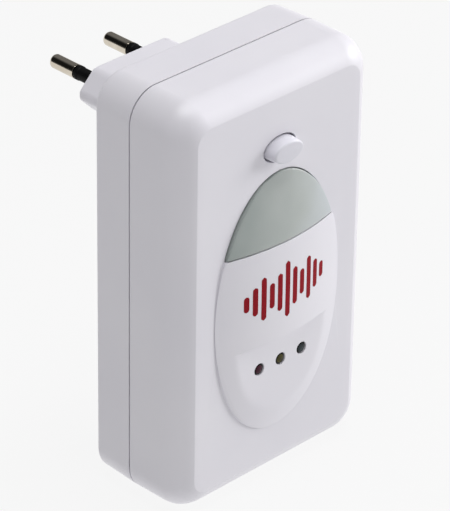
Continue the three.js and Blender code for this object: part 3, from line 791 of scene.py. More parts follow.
@dataclass(frozen=True)
class OvalPatch:
    """The part of an upright oval on one side of a level line, as rows from that line to the oval's end."""

    half_width: float
    half_height: float
    centre_z: float
    line_z: float
    towards: int
    shares: tuple[float, ...]
    columns: int

    def angle(self, share: float) -> float:
        """How far round the oval a row is, from its widest place to its end."""
        start = math.asin(self.towards * (self.line_z - self.centre_z) / self.half_height)
        return start + share * (math.pi / 2 - start)

    def at(self, share: float, across: float) -> tuple[float, float]:
        """A place on the patch.

        Args:
            share: How far it is from the level line, from 0 to 1.
            across: How far it is from the middle, from -1 to 1.

        Returns:
            Its x and z.
        """
        angle = self.angle(share)
        rise = self.towards * self.half_height * math.sin(angle)
        return across * self.half_width * math.cos(angle), self.centre_z + rise

    def arc(self) -> list[tuple[float, float]]:
        """The curved side, from the line's left end to its right end, as x and z."""
        left = [self.at(share, -1) for share in self.shares]
        return left + [self.at(share, 1) for share in reversed(self.shares[:-1])]

    def let_out(self, out: float, size: Callable[[float], float],
                level: Callable[[float, float, float], float]) -> list[Point]:
        """The curved side, moved outwards.

        Args:
            out: How far out it goes, as a share of the size there.
            size: Gives the size at a height.
            level: Gives the level for an x, a z and the size there.

        Returns:
            The points, in the order that arc has.
        """
        points = []
        sides = self.arc()
        for number, (x, z) in enumerate(sides):
            here = size(z)
            y = level(x, z, here)
            if number == len(sides) // 2:
                points.append((0.0, y, z + self.towards * out * here))
            else:
                points.append((x + math.copysign(out * here, x), y, z))
        return points

    def line(self) -> list[tuple[float, float]]:
        """The straight side, from its right end to its left end, as x and z."""
        return [self.at(0, 1 - 2 * i / self.columns) for i in range(self.columns + 1)]

    def lay(self, skin: Skin,
            place: Callable[[float, float, float, float], Point]) -> tuple[Vertices, Vertices]:
        """Lays the patch as faces.

        Args:
            skin: The mesh to lay it in.
            place: Gives the corner for a share and a place across, and the x and z there.

        Returns:
            The corners of the curved side and of the straight side, in the order that arc and line have.
        """
        rows = len(self.shares) - 1
        made = bmesh.ops.create_grid(skin.mesh, x_segments=self.columns, y_segments=rows, size=1.0)["verts"]
        reach = max(corner.co.x for corner in made)
        table: dict[tuple[int, int], bmesh.types.BMVert] = {}
        for corner in made:
            column = round((corner.co.x / reach + 1) / 2 * self.columns)
            row = round((corner.co.y / reach + 1) / 2 * rows)
            table[row, column] = corner
        for (row, column), corner in table.items():
            share, across = self.shares[row], 2 * column / self.columns - 1
            corner.co = place(share, across, *self.at(share, across))
        tip = [table[rows, column] for column in range(self.columns + 1)]
        bmesh.ops.remove_doubles(skin.mesh, verts=tip, dist=0.002)
        end = next(corner for corner in tip if corner.is_valid)
        left = [table[row, 0] for row in range(rows)]
        right = [table[row, self.columns] for row in reversed(range(rows))]
        straight = [table[0, column] for column in reversed(range(self.columns + 1))]
        return [*left, end, *right], straight


# ---- The case ------------------------------------------------------------------------------------


@dataclass(frozen=True)
class CaseSizes:
    """What the two covers share."""

    outline: Outline = Outline(34.5, 59.2, 8.8)
    wall: float = 2.2
    front_depth: float = 18.5
    rear_depth: float = 12.9
    screw_x: float = 26.4
    screw_z: float = 51.1
    screw_hole: float = 1.5
    head_floor: float = 7.5
    head_recess_radius: float = 2.8
    button_z: float = 39.1
    lamp_x: float = 7.75
    lamp_z: float = -22.4
    stake_x: float = 19.19
    stake_z: float = 20.0
    board_rear: float = -9.3
    plug_z: float = 39.3
    plug_face: float = 36.4
    end_block: float = 28.4
    pin_x: float = 9.5

    @property
    def front_face(self) -> float:
        """The level of the front face."""
        return -self.front_depth

    @property
    def inner_front(self) -> float:
        """The level of the front wall's inner side."""
        return self.wall - self.front_depth

    def screw_places(self) -> list[tuple[float, float]]:
        """Where the four screws are."""
        return [(h * self.screw_x, v * self.screw_z) for h in (-1, 1) for v in (-1, 1)]


@dataclass(frozen=True)
class RaisedOval:
    """The crowned oval on the front: its lower part belongs to the cover, its top is the window."""

    half_width: float = 22.1
    half_height: float = 38.0
    centre_z: float = -5.3
    window_z: float = 13.4
    step: float = 0.25
    rise: float = 3.7
    panel_z: float = -14.5
    panel_rise: float = 1.95
    panel_slope: float = 0.5
    panel_softness: float = 0.1

    def crown(self, x: float, z: float) -> float:
        """How far the crown is proud of the front face at a place."""
        across = abs(x) / self.half_width
        along = abs(z - self.centre_z) / self.half_height
        return self.step + self.rise * (1 - across ** 2 - along ** 3)

    def relief(self, x: float, z: float) -> float:
        """How far the cover is proud of the front face, with the flat lamp panel sunk into the crown.

        Args:
            x: The place across.
            z: Its height.

        Returns:
            The relief.
        """
        crown = self.crown(x, z)
        excess = (crown - self.panel_rise) / self.panel_softness
        soft = self.panel_softness * math.log1p(math.exp(-abs(excess)))
        flat = min(crown, self.panel_rise) - soft
        share = min(max((self.panel_z + self.panel_slope / 2 - z) / self.panel_slope, 0.0), 1.0)
        blend = share * share * (3 - 2 * share)
        return crown + (flat - crown) * blend


@dataclass
class FrontCover:
    """The front half of the case, with the raised oval, the openings and the posts behind them."""

    sizes: CaseSizes
    oval: RaisedOval
    edge_depth: float = 8.3
    edge_width: float = 7.9
    edge: tuple[tuple[float, float, int], ...] = ((8.45, 69.0, 24), (0.8, 87.0, 5), (38.0, 90.0, 4))
    softening: float = 0.75
    draft: float = 0.2
    seam_radius: float = 0.06
    rim_radius: float = 0.5
    rim_run_out: float = 2.0
    foot: tuple[tuple[float, float], ...] = ((-0.5, 0.2), (0.0, 0.5), (0.45, 0.8), (0.9, 1.0))
    window_radius: float = 0.16
    window_run_out: float = 1.0
    bulge_columns: int = 110
    bulge_rows: tuple[int, int, int] = (40, 8, 60)
    button_half_width: float = 5.85
    button_half_height: float = 3.75
    button_edge: float = 0.08
    lamp_hole: float = 1.75
    post_root: float = -16.9
    post_radius: float = 3.2
    board_post_radius: float = 2.6
    board_post_x: float = 26.0
    board_post_z: float = 39.5
    board_post_hole: float = 1.3
    post_hole_floor: float = -8.5
    stake_radius: float = 1.0
    stake_span: tuple[float, float] = (-17.2, -13.9)
    disc_ring: tuple[float, float] = (11.2, 12.5)
    disc_ring_span: tuple[float, float] = (-20.25, -13.4)
    disc_z: float = -4.5
    skin: Skin = field(default_factory=Skin)

    def level(self, reach: float, drawn: float, inset: float) -> list[Point]:
        """The outline at a level of the cover.

        Args:
            reach: How far the level is from the seam.
            drawn: How far the round edge has come in there.
            inset: 0 on the outside, the wall on the inside.

        Returns:
            The outline's points.
        """
        slope = self.draft * reach / self.sizes.front_depth
        base = self.sizes.outline.drawn_in(inset)
        radius = max(base.radius - self.softening * drawn, 0.5)
        outline = Outline(base.half_width - drawn - slope, base.half_height - drawn - slope, radius)
        return outline.points(-reach)

    def walls(self) -> None:
        """Lofts the outer and inner walls as one skin, from the front face round the seam and back."""
        sizes = self.sizes
        section = bend(self.edge)
        start = sizes.front_depth - section[-1][0]
        outer = [self.level(start + along, across, 0) for along, across in section]
        ring = self.skin.ring(outer[-1])
        ring = self.skin.loft(ring, reversed(outer[:-1]))
        seam = SEAM_SHOWN / 2
        for along, across in reversed(quarter(4)):
            reach = seam + self.seam_radius * across
            ring = self.skin.pull(ring, self.level(reach, self.seam_radius * (1 - along), 0))
        depth = sizes.front_depth - sizes.wall
        inner_depth, inner_width = self.edge_depth - sizes.wall, self.edge_width - sizes.wall
        ring = self.skin.pull(ring, self.level(seam, 0, sizes.wall))
        inner = [
            self.level(depth - inner_depth * (1 - along), inner_width * across, sizes.wall)
            for along, across in quarter(8)
        ]
        self.skin.loft(ring, inner)

    def rim_size(self, distance: float) -> float:
        """Half the width of the oval's foot, which runs out where the window's straight edge meets it."""
        return self.rim_radius * min(distance / self.rim_run_out, 1.0)

    def window_rim(self, distance: float) -> float:
        """The radius of the window's edges, which runs out in the window's two corners."""
        return self.window_radius * min(distance / self.window_run_out, 1.0)

    def bulge(self) -> None:
        """Lays the crowned lower part of the oval, its step and the window's straight edge."""
        oval, face = self.oval, self.sizes.front_face
        shares = self.row_shares()
        patch = OvalPatch(oval.half_width, oval.half_height, oval.centre_z, oval.window_z, -1, shares,
                          self.bulge_columns)

        def place(share: float, across: float, x: float, z: float) -> Point:
            side = self.rim_size(oval.window_z - z)
            inward = across * max(patch.at(share, 1)[0] - side, 0.0)
            corner = (1 - abs(across)) * oval.half_width
            down = self.window_rim(corner) if share == 0 else 0.0
            up = side if share == 1 else 0.0
            height = z - down + up
            return inward, face - oval.relief(inward, height), height

        arc, line = patch.lay(self.skin, place)
        self.step_wall(patch, arc)
        self.window_edge(patch, line)

    def row_shares(self) -> tuple[float, ...]:
        """Rows of the bulge: even, but closer together at the top edge of the lamp panel."""
        oval = self.oval
        start = math.asin((oval.centre_z - oval.window_z) / oval.half_height)

        def share_of(z: float) -> float:
            return (math.asin((oval.centre_z - z) / oval.half_height) - start) / (math.pi / 2 - start)

        above, near, below = self.bulge_rows
        top = share_of(oval.panel_z + oval.panel_slope / 2 + 0.1)
        bottom = share_of(oval.panel_z - oval.panel_slope / 2 - 0.1)
        rows = [top * share for share in even(above)[:-1]]
        rows.insert(1, share_of(oval.window_z - 0.3))
        rows += [top + (bottom - top) * share for share in even(near)[:-1]]
        rows += [bottom + (1 - bottom) * share for share in even(below)]
        return tuple(rows)

    def step_wall(self, patch: OvalPatch, arc: Vertices) -> None:
        """Takes the bulge's curved side down to the front face in a soft slope.

        Args:
            patch: The bulge's patch.
            arc: The corners of its curved side.
        """
        oval, face = self.oval, self.sizes.front_face

        def row(out: float, share: float) -> list[Point]:
            return patch.let_out(out, lambda z: self.rim_size(oval.window_z - z),
                                 lambda x, z, _size: face - oval.relief(x, z) * (1 - share))

        self.skin.loft(arc, [row(out, share) for out, share in self.foot], closed=False)

    def window_edge(self, patch: OvalPatch, line: Vertices) -> None:
        """Takes the bulge's straight side down to the inner side of the wall, in rows that meet the foot's.

        Args:
            patch: The bulge's patch.
            line: The corners of its straight side.
        """
        oval, face, places = self.oval, self.sizes.front_face, patch.line()
        rounded, low = [], []
        for x, z in places:
            size = self.window_rim(oval.half_width - abs(x) * oval.half_width / patch.at(0, 1)[0])
            top = face - oval.relief(x, z)
            rounded.append((x, top + 0.3 * size, z - 0.3 * size))
            low.append((x, top + size, z))
        down = [[(x, face - oval.relief(x, z) * (1 - share), z) for x, z in places] for _, share in self.foot]
        inner = [(x, self.sizes.inner_front, z) for x, z in places]
        self.skin.loft(line, [rounded, low, *down, inner], closed=False)

    def window_opening(self) -> None:
        """The curved side of the window's opening, through the front wall."""
        oval, face = self.oval, self.sizes.front_face
        patch = OvalPatch(oval.half_width, oval.half_height, oval.centre_z, oval.window_z, 1, even(48), 2)

        def row(out: float, down: float) -> list[Point]:
            return patch.let_out(out, lambda z: self.window_rim(z - oval.window_z),
                                 lambda _x, _z, size: face + down * size)

        ends = [(x, self.sizes.inner_front, z) for x, z in patch.arc()]
        self.skin.loft(self.skin.chain(row(1, 0)), [row(0.3, 0.3), row(0, 1), ends], closed=False)

    def bulge_hollow(self) -> None:
        """The hollow behind the bulge, which keeps its wall as thick as the case's."""
        oval, wall, inner = self.oval, self.sizes.wall, self.sizes.inner_front
        patch = OvalPatch(oval.half_width - wall, oval.half_height - wall, oval.centre_z,
                          oval.window_z - wall, -1, even(30), 30)

        def place(_share: float, _across: float, x: float, z: float) -> Point:
            level = oval.panel_z + wall
            rise = oval.crown(x, z)
            return x, inner - (min(rise, oval.panel_rise) if z < level else rise), z

        arc, line = patch.lay(self.skin, place)
        self.skin.pull(arc, [(x, inner, z) for x, z in patch.arc()], closed=False)
        self.skin.pull(line, [(x, inner, z) for x, z in patch.line()], closed=False)

    def button_hole(self) -> None:
        """The button's oval hole, with a rounded edge."""
        def level(grow: float, y: float) -> list[Point]:
            return oval_points(self.button_half_width + grow, self.button_half_height + grow, y,
                               self.sizes.button_z)

        edge, face = self.button_edge, self.sizes.front_face
        levels = [level(edge * (1 - along), face + edge * across) for along, across in quarter(4)]
        levels.append(level(0.0, self.sizes.inner_front))
        self.skin.loft(self.skin.ring(levels[0]), levels[1:])

    def posts(self) -> list[Skin]:
        """The screw posts, the board's posts, the sound disc's ring and the window's stakes."""
        sizes, root = self.sizes, self.post_root
        found = [rod(self.post_radius, root, -1.5 * SEAM_GAP, x, z) for x, z in sizes.screw_places()]
        for h in (-1, 1):
            for v in (-1, 1):
                found.append(rod(self.board_post_radius, root, sizes.board_rear,
                                 h * self.board_post_x, v * self.board_post_z))
            found.append(rod(self.stake_radius, *self.stake_span, h * sizes.stake_x, sizes.stake_z, 24))
        (inner, outer), (front, rear) = self.disc_ring, self.disc_ring_span
        ring = Skin()
        ring.turned([(inner, front), (outer, front), (outer, rear), (inner, rear), (inner, front)],
                    0, self.disc_z, 72)
        found.append(ring)
        return found

    def holes(self) -> list[Skin]:
        """The posts' screw holes and the lamps' holes in the panel."""
        sizes, floor = self.sizes, self.post_hole_floor
        found = [rod(sizes.screw_hole, floor, 0.5, x, z, 24) for x, z in sizes.screw_places()]
        for h in (-1, 1):
            for v in (-1, 1):
                found.append(rod(self.board_post_hole, -14.4, floor, h * self.board_post_x,
                                 v * self.board_post_z, 24))
        face, r = sizes.front_face - self.oval.panel_rise, self.lamp_hole
        for x in (-sizes.lamp_x, 0.0, sizes.lamp_x):
            drill = Skin()
            drill.turned([(0, face - 2), (r + 0.1, face - 2), (r + 0.1, face - 0.01), (r + 0.03, face + 0.03),
                          (r, face + 0.1), (r, face + 4), (0, face + 4)], x, sizes.lamp_z, 48)
            found.append(drill)
        return found

    def build(self, finishes: Finishes) -> None:
        """Builds and dresses the cover.

        Args:
            finishes: The device's finishes.
        """
        self.walls()
        self.bulge()
        self.window_opening()
        self.bulge_hollow()
        self.button_hole()
        self.skin.weld()
        self.skin.fill_level(self.sizes.front_face)
        self.skin.fill_level(self.sizes.inner_front)
        self.skin.use(Join.ADD, self.posts())
        self.skin.use(Join.CUT, self.holes())
        self.skin.finish("front_shell", Body.CASE, [finishes.shell], "shell_plastic", ["front_cover"])


@dataclass
class RearCover:
    """The rear half of the case, in one piece with the body of the plug."""

    sizes: CaseSizes
    edge_radius: float = 1.0
    draft: float = 0.45
    seam_radius: float = 0.06
    plug_half_width: float = 18.0
    plug_half_height: float = 6.2
    plug_end: float = 1.1
    plug_corner: float = 1.4
    plug_edge: float = 0.5
    plug_foot: float = 0.4
    pin_hole: float = 2.3
    post_radius: float = 4.3
    lip_section: tuple[tuple[float, float], ...] = (
        (2.5, -2.2), (2.5, 0.6), (1.4, 0.6), (1.4, 3.0), (3.7, 3.0), (3.7, -2.2), (2.5, -2.2))
    skin: Skin = field(default_factory=Skin)

    def level(self, reach: float, drawn: float, inset: float) -> list[Point]:
        """The outline at a level of the cover.

        Args:
            reach: How far the level is from the seam.
            drawn: How far the round edge has come in there.
            inset: 0 on the outside, the wall on the inside.

        Returns:
            The outline's points.
        """
        slope = self.draft * reach / self.sizes.rear_depth
        outline = self.sizes.outline.drawn_in(inset + slope).drawn_in(drawn)
        return outline.points(reach)

    def plug_outline(self, grow: float, y: float) -> list[Point]:
        """The plug's long eight-sided outline, with rounded corners.

        Args:
            grow: How much larger than the plug it is.
            y: Its level.

        Returns:
            The outline's points.
        """
        height, width = self.plug_half_height + grow, self.plug_half_width + grow
        end = self.plug_end + grow * math.tan(math.pi / 8)
        flat = width - (height - end)
        corners = [(width, end), (flat, height), (-flat, height), (-width, end),
                   (-width, -end), (-flat, -height), (flat, -height), (width, -end)]
        points: list[Point] = []
        for number, corner in enumerate(corners):
            here = Vector(corner)
            before, after = Vector(corners[number - 1]) - here, Vector(corners[(number + 1) % 8]) - here
            reach = min(self.plug_corner, before.length / 2.2, after.length / 2.2)
            start, end_point = here + before.normalized() * reach, here + after.normalized() * reach
            for i in range(7):
                t = i / 6
                at = start * (1 - t) ** 2 + here * 2 * t * (1 - t) + end_point * t * t
                points.append((at.x, y, at.y + self.sizes.plug_z))
        return points

    def pin_ring(self, side: Side, grow: float, y: float) -> list[Point]:
        """A pin hole's ring at a level."""
        radius, centre = self.pin_hole + grow, side.value * self.sizes.pin_x
        ring = oval_points(radius, radius, y, self.sizes.plug_z, 40)
        return [(centre + x, level, z) for x, level, z in ring]

    def outside(self) -> None:
        """The plug's wall, from its face to the back of the case."""
        edge, foot = self.plug_edge, self.plug_foot
        levels = [self.plug_outline(-edge * across, self.sizes.plug_face - edge * (1 - along))
                  for along, across in reversed(quarter(5))]
        levels += [self.plug_outline(foot * across, self.sizes.rear_depth + foot * (1 - along))
                   for along, across in quarter(4)]
        self.skin.loft(self.skin.ring(levels[0]), levels[1:])

    def walls(self) -> None:
        """The case's wall, from its back round the seam to the inner side of the back."""
        sizes, radius = self.sizes, self.edge_radius
        levels = []
        for along, across in reversed(quarter(8)):
            levels.append(self.level(sizes.rear_depth - radius * (1 - along), radius * across, 0))
        seam = SEAM_SHOWN / 2
        for along, across in quarter(4):
            levels.append(self.level(seam + self.seam_radius * (1 - along), self.seam_radius * across, 0))
        levels.append(self.level(seam, 0, sizes.wall))
        inner = sizes.rear_depth - sizes.wall
        for along, across in quarter(4):
            levels.append(self.level(inner - 0.8 * (1 - along), 0.8 * across, sizes.wall))
        self.skin.loft(self.skin.ring(levels[0]), levels[1:])

    def inside(self) -> None:
        """The plug's hollow and the holes that hold the pins."""
        sizes = self.sizes
        start = self.plug_outline(-sizes.wall, sizes.rear_depth - sizes.wall)
        self.skin.loft(self.skin.ring(start), [self.plug_outline(-sizes.wall, sizes.end_block)])
        mouth = ((0.15, sizes.plug_face), (0.04, sizes.plug_face - 0.04), (0.0, sizes.plug_face - 0.15),
                 (0.0, sizes.end_block))
        for side in Side:
            rings = [self.pin_ring(side, grow, y) for grow, y in mouth]
            self.skin.loft(self.skin.ring(rings[0]), rings[1:])

    def lip(self) -> Skin:
        """The lip that enters the front cover, with its root on the wall."""
        skin = Skin()
        levels = [self.sizes.outline.drawn_in(inset).points(y) for inset, y in self.lip_section]
        skin.loft(skin.ring(levels[0]), levels[1:])
        skin.weld()
        return skin

    def build(self, finishes: Finishes) -> None:
        """Builds and dresses the cover.

        Args:
            finishes: The device's finishes.
        """
        sizes = self.sizes
        self.outside()
        self.walls()
        self.inside()
        self.skin.weld()
        for y in (sizes.plug_face, sizes.rear_depth, sizes.rear_depth - sizes.wall, sizes.end_block):
            self.skin.fill_level(y)
        posts = [rod(self.post_radius, 0.45, sizes.rear_depth - 1, x, z) for x, z in sizes.screw_places()]
        self.skin.use(Join.ADD, [self.lip(), *posts])
        cuts = []
        for x, z in sizes.screw_places():
            recess = Skin()
            r, back, floor = sizes.head_recess_radius, sizes.rear_depth, sizes.head_floor
            recess.turned([(0, floor), (r, floor), (r, back - 0.3), (r + 0.09, back - 0.09),
                           (r + 0.3, back + 0.01), (r + 0.3, back + 3), (0, back + 3)], x, z, 48)
            cuts += [recess, rod(sizes.screw_hole, -1, floor + 1, x, z, 24)]
        self.skin.use(Join.CUT, cuts)
        self.skin.finish("rear_shell", Body.CASE, [finishes.shell], "shell_plastic", ["rear_cover"])


@dataclass
class CaseScrew:
    """A pan-head screw with a crossed recess, its head towards the back."""

    x: float
    z: float
    seat: float = 7.8
    radius: float = 1.2
    head_radius: float = 2.5
    head_height: float = 2.0
    length: float = 15.0
    thread_pitch: float = 1.1
    core_radius: float = 0.9
    point_radius: float = 0.35
    cross: tuple[float, float] = (1.5, 0.27)

    def build(self, number: int, finishes: Finishes) -> None:
        """Builds and dresses the screw.

        Args:
            number: Which of the four it is.
            finishes: The device's finishes.
        """
        skin = Skin()
        end = self.seat - self.length
        core, pitch = self.core_radius, self.thread_pitch
        profile = [(0, end), (self.point_radius, end)]
        y = end + 1.6
        while y < self.seat - 2.4:
            profile += [(core, y), (self.radius, y + pitch * 0.4), (core, y + pitch * 0.8)]
            y += pitch
        profile += [(0.95, self.seat - 1.2), (self.radius, self.seat - 0.9), (self.radius, self.seat),
                    (self.head_radius, self.seat)]
        for along, across in quarter(6):
            profile.append((self.head_radius * (1 - 0.55 * across),
                            self.seat + self.head_height * (0.4 + 0.6 * along)))
        profile.append((0, self.seat + self.head_height))
        skin.turned(profile, self.x, self.z, 32)
        top = self.seat + self.head_height
        arms = []
        for width, height in (self.cross, self.cross[::-1]):
            arm = Skin()
            arm.block((self.x - width, top - 1.1, self.z - height),
                      (self.x + width, top + 1, self.z + height))
            arms.append(arm)
        skin.use(Join.CUT, arms)
        skin.finish(f"cover_screw_{number}", Body.CASE, [finishes.steel], "screw_steel",
                    [f"case_screw_{number}"])


# ---- What is set into the case -------------------------------------------------------------------


@dataclass
class NightLightWindow:
    """The frosted window that fills the oval's top, on a flange behind the front wall."""

    sizes: CaseSizes
    oval: RaisedOval
    thickness: float = 1.8
    flange_reach: float = 1.4
    flange_thickness: float = 1.2
    edge: float = 0.25
    ear_radius: float = 2.6
    ear_hole: float = 1.3
    rows: int = 44
    columns: int = 56
    skin: Skin = field(default_factory=Skin)

    def patch(self, inset: float) -> OvalPatch:
        """The window's outline, drawn in by an amount, or let out by a negative one."""
        oval = self.oval
        return OvalPatch(oval.half_width - inset, oval.half_height - inset, oval.centre_z,
                         oval.window_z + inset, 1, even(self.rows), self.columns)

    def rim(self, inset: float, y: Callable[[float, float], float]) -> list[Point]:
        """The whole rim at an inset.

        Args:
            inset: How far in it is from the opening.
            y: Gives the level at a place.

        Returns:
            The rim's points, in order.
        """
        patch = self.patch(inset)
        return [(x, y(x, z), z) for x, z in patch.arc() + patch.line()[1:-1]]

    def surface(self, inset: float, depth: float) -> Vertices:
        """Lays one side of the window.

        Args:
            inset: How far in its rim is from the opening.
            depth: How far it lies under the crown.

        Returns:
            The corners of its rim, in order.
        """
        face, oval = self.sizes.front_face, self.oval

        def place(_share: float, _across: float, x: float, z: float) -> Point:
            return x, face - oval.crown(x, z) + depth, z

        arc, line = self.patch(inset).lay(self.skin, place)
        return arc + line[1:-1]

    def build(self, finishes: Finishes) -> None:
        """Builds and dresses the window.

        Args:
            finishes: The device's finishes.
        """
        def under(depth: float) -> Callable[[float, float], float]:
            return lambda x, z: self.sizes.front_face - self.oval.crown(x, z) + depth

        def flat(y: float) -> Callable[[float, float], float]:
            return lambda _x, _z: y

        front = self.sizes.inner_front + GAP
        rear = front + self.flange_thickness
        grown, hollow = -self.flange_reach, GAP + self.thickness
        outer = self.surface(GAP + self.edge, 0.0)
        levels = [self.rim(GAP + self.edge * (1 - along), under(self.edge * across))
                  for along, across in quarter(4)[1:]]
        levels += [self.rim(GAP, flat(front)), self.rim(grown, flat(front)), self.rim(grown, flat(rear)),
                   self.rim(hollow, flat(rear)), self.rim(hollow, under(self.thickness))]
        self.skin.loft(outer, levels)
        self.surface(hollow, self.thickness)
        self.skin.weld(0.004)
        places = [(side * self.sizes.stake_x, self.sizes.stake_z) for side in (-1, 1)]
        self.skin.use(Join.ADD, [rod(self.ear_radius, front + 0.05, rear - 0.05, x, z) for x, z in places])
        self.skin.use(Join.CUT, [rod(self.ear_hole, front - 1, rear + 1, x, z, 24) for x, z in places])
        self.skin.finish("night_light_window", Body.CASE, [finishes.lens], "lens_plastic",
                         ["night_light_lens"])


@dataclass
class PushButton:
    """The oval push button, with its flange and the socket for the switch's plunger."""

    sizes: CaseSizes
    half_width: float = 5.35
    half_height: float = 3.2
    proud: float = 3.6
    edge: float = 0.7
    narrowing: float = 0.25
    crown: float = 0.12
    flange_reach: float = 0.5
    flange_thickness: float = 1.1
    plunger: float = 1.5

    def level(self, shrink: float, y: float) -> list[Point]:
        """The cap's outline at a level."""
        return oval_points(self.half_width - shrink, self.half_height - shrink, y, self.sizes.button_z, 96)

    def build(self, finishes: Finishes) -> None:
        """Builds and dresses the button.

        Args:
            finishes: The device's finishes.
        """
        face, front = self.sizes.front_face, self.sizes.inner_front + GAP
        tip = face - self.proud
        rear = front + self.flange_thickness
        edge, draft = self.edge, self.narrowing
        levels = [self.level(self.half_height * share + (1 - share) * (draft + edge),
                             tip + self.crown * (1 - share)) for share in (0.93, 0.75, 0.5, 0.25)]
        levels += [self.level(draft + edge * (1 - along), tip + self.crown + (edge - self.crown) * across)
                   for along, across in quarter(8)]
        reach = -(GAP + self.flange_reach)
        body = ((0.0, face), (0.0, front), (reach, front), (reach, rear))
        levels += [self.level(shrink, y) for shrink, y in body]
        skin = Skin()
        start = skin.ring(levels[0])
        skin.cap(start)
        end = skin.loft(start, levels[1:])
        skin.cap(end)
        socket = rod(self.plunger + GAP, self.sizes.inner_front - self.sizes.wall, 0, 0, self.sizes.button_z)
        skin.use(Join.CUT, [socket])
        skin.finish("push_button", Body.BUTTON, [finishes.button], "button_plastic", ["button_cap"])


@dataclass
class Lamp:
    """A round lamp cast in resin, which looks out of the front, with its leads down to the board."""

    sizes: CaseSizes
    name: str
    node: str
    slot: str
    colour: str
    x: float
    z: float
    radius: float
    tip: float
    base: float
    dome: float
    painted_shade_ring: bool = False
    flange: float = 1.15
    lead: float = 0.25

    def build(self, finishes: Finishes) -> None:
        """Builds and dresses the lamp.

        Args:
            finishes: The device's finishes.
        """
        skin = Skin()
        r = self.radius
        profile = [(r * along, self.tip + self.dome * across) for along, across in quarter(10)]
        flange, step = self.flange * r, self.base - r / 2
        profile += [(r, step), (flange - 0.03 * r, step), (flange, step + 0.05 * r), (flange, self.base),
                    (0, self.base)]
        skin.turned(profile, self.x, self.z, 40)
        # Faces of the dome beyond 0.72 of its radius get a near-black finish: painted shade, standing in for
        # the shadowed gap between the lamp and its hole.
        for face in skin.mesh.faces:
            middle = face.calc_center_median()
            out = math.hypot(middle.x - self.x, middle.z - self.z)
            face.material_index = 2 if self.painted_shade_ring and out > 0.72 * r else 0
        board, half = self.sizes.board_rear, self.lead
        if board - self.base > 1:
            before = set(skin.mesh.faces)
            for h in (-1, 1):
                x = self.x + h * r / 2
                skin.block((x - half, self.base + 0.02, self.z - half),
                           (x + half, board, self.z + half), 0.05)
            for face in set(skin.mesh.faces) - before:
                face.material_index = 1
        materials = [finishes.lamps[self.colour], finishes.tinned] + [finishes.painted_shade_lamp_ring] * self.painted_shade_ring
        skin.finish(self.name, Body.CASE, materials, self.slot, [self.node])


@dataclass
class PlugPin:
    """A round mains pin, thin inside its sleeve and full size where it is bare, with its sleeve."""

    sizes: CaseSizes
    side: Side
    length: float = 19.0
    bare: float = 9.2
    radius: float = 2.0
    neck: float = 1.2
    tip_radius: float = 1.2
    tail: float = 4.0
    collar: float = 2.6
    collar_thickness: float = 1.2
    sleeve_radius: float = 1.85
    sleeve_root: float = 4.0
    sleeve_collar: float = 2.0
    sleeve_collar_length: float = 1.4

    @property
    def shoulder(self) -> float:
        """The level where the bare metal starts."""
        return self.sizes.plug_face + self.length - self.bare

    def turned(self, profile: Sequence[tuple[float, float]]) -> Skin:
        """A profile turned about the pin's own line.

        Args:
            profile: Pairs of radius and y.

        Returns:
            The mesh.
        """
        skin = Skin()
        skin.turned(profile, self.side.value * self.sizes.pin_x, self.sizes.plug_z, 64)
        return skin

    def build_pin(self, finishes: Finishes) -> None:
        """Builds and dresses the metal pin.

        Args:
            finishes: The device's finishes.
        """
        inner, tip, r = self.sizes.end_block - self.tail, self.sizes.plug_face + self.length, self.radius
        foot = self.sizes.end_block - GAP
        top = foot - self.collar_thickness
        profile = [(0, inner), (self.neck - 0.15, inner), (self.neck, inner + 0.15), (self.neck, top),
                   (self.collar - 0.1, top), (self.collar, top + 0.1), (self.collar, foot - 0.1),
                   (self.collar - 0.1, foot), (self.neck, foot), (self.neck, self.shoulder),
                   (r - 0.12, self.shoulder), (r - 0.03, self.shoulder + 0.03), (r, self.shoulder + 0.12)]
        profile += [(r - self.tip_radius * across, tip - self.tip_radius * (1 - along))
                    for along, across in quarter(10)]
        profile.append((0, tip))
        label = self.side.name.lower()
        self.turned(profile).finish(f"mains_pin_{label}", Body.CASE, [finishes.nickel], "pin_nickel",
                                    [f"plug_pin_{label}"])

    def build_sleeve(self, finishes: Finishes) -> None:
        """Builds and dresses the black insulating sleeve.

        Args:
            finishes: The device's finishes.
        """
        start, end = self.sizes.plug_face - self.sleeve_root, self.shoulder - GAP
        bore = self.neck + GAP
        collar = end - self.sleeve_collar_length
        r, big = self.sleeve_radius, self.sleeve_collar
        profile = [(bore, start), (r - 0.1, start), (r, start + 0.1), (r, collar), (r + 0.02, collar + 0.05),
                   (big - 0.02, collar + 0.2), (big, collar + 0.28), (big, end - 0.12),
                   (big - 0.03, end - 0.03), (big - 0.12, end), (bore, end), (bore, start)]
        label = self.side.name.lower()
        self.turned(profile).finish(f"sleeve_{label}", Body.CASE, [finishes.black], "black_plastic",
                                    [f"pin_sleeve_{label}"])


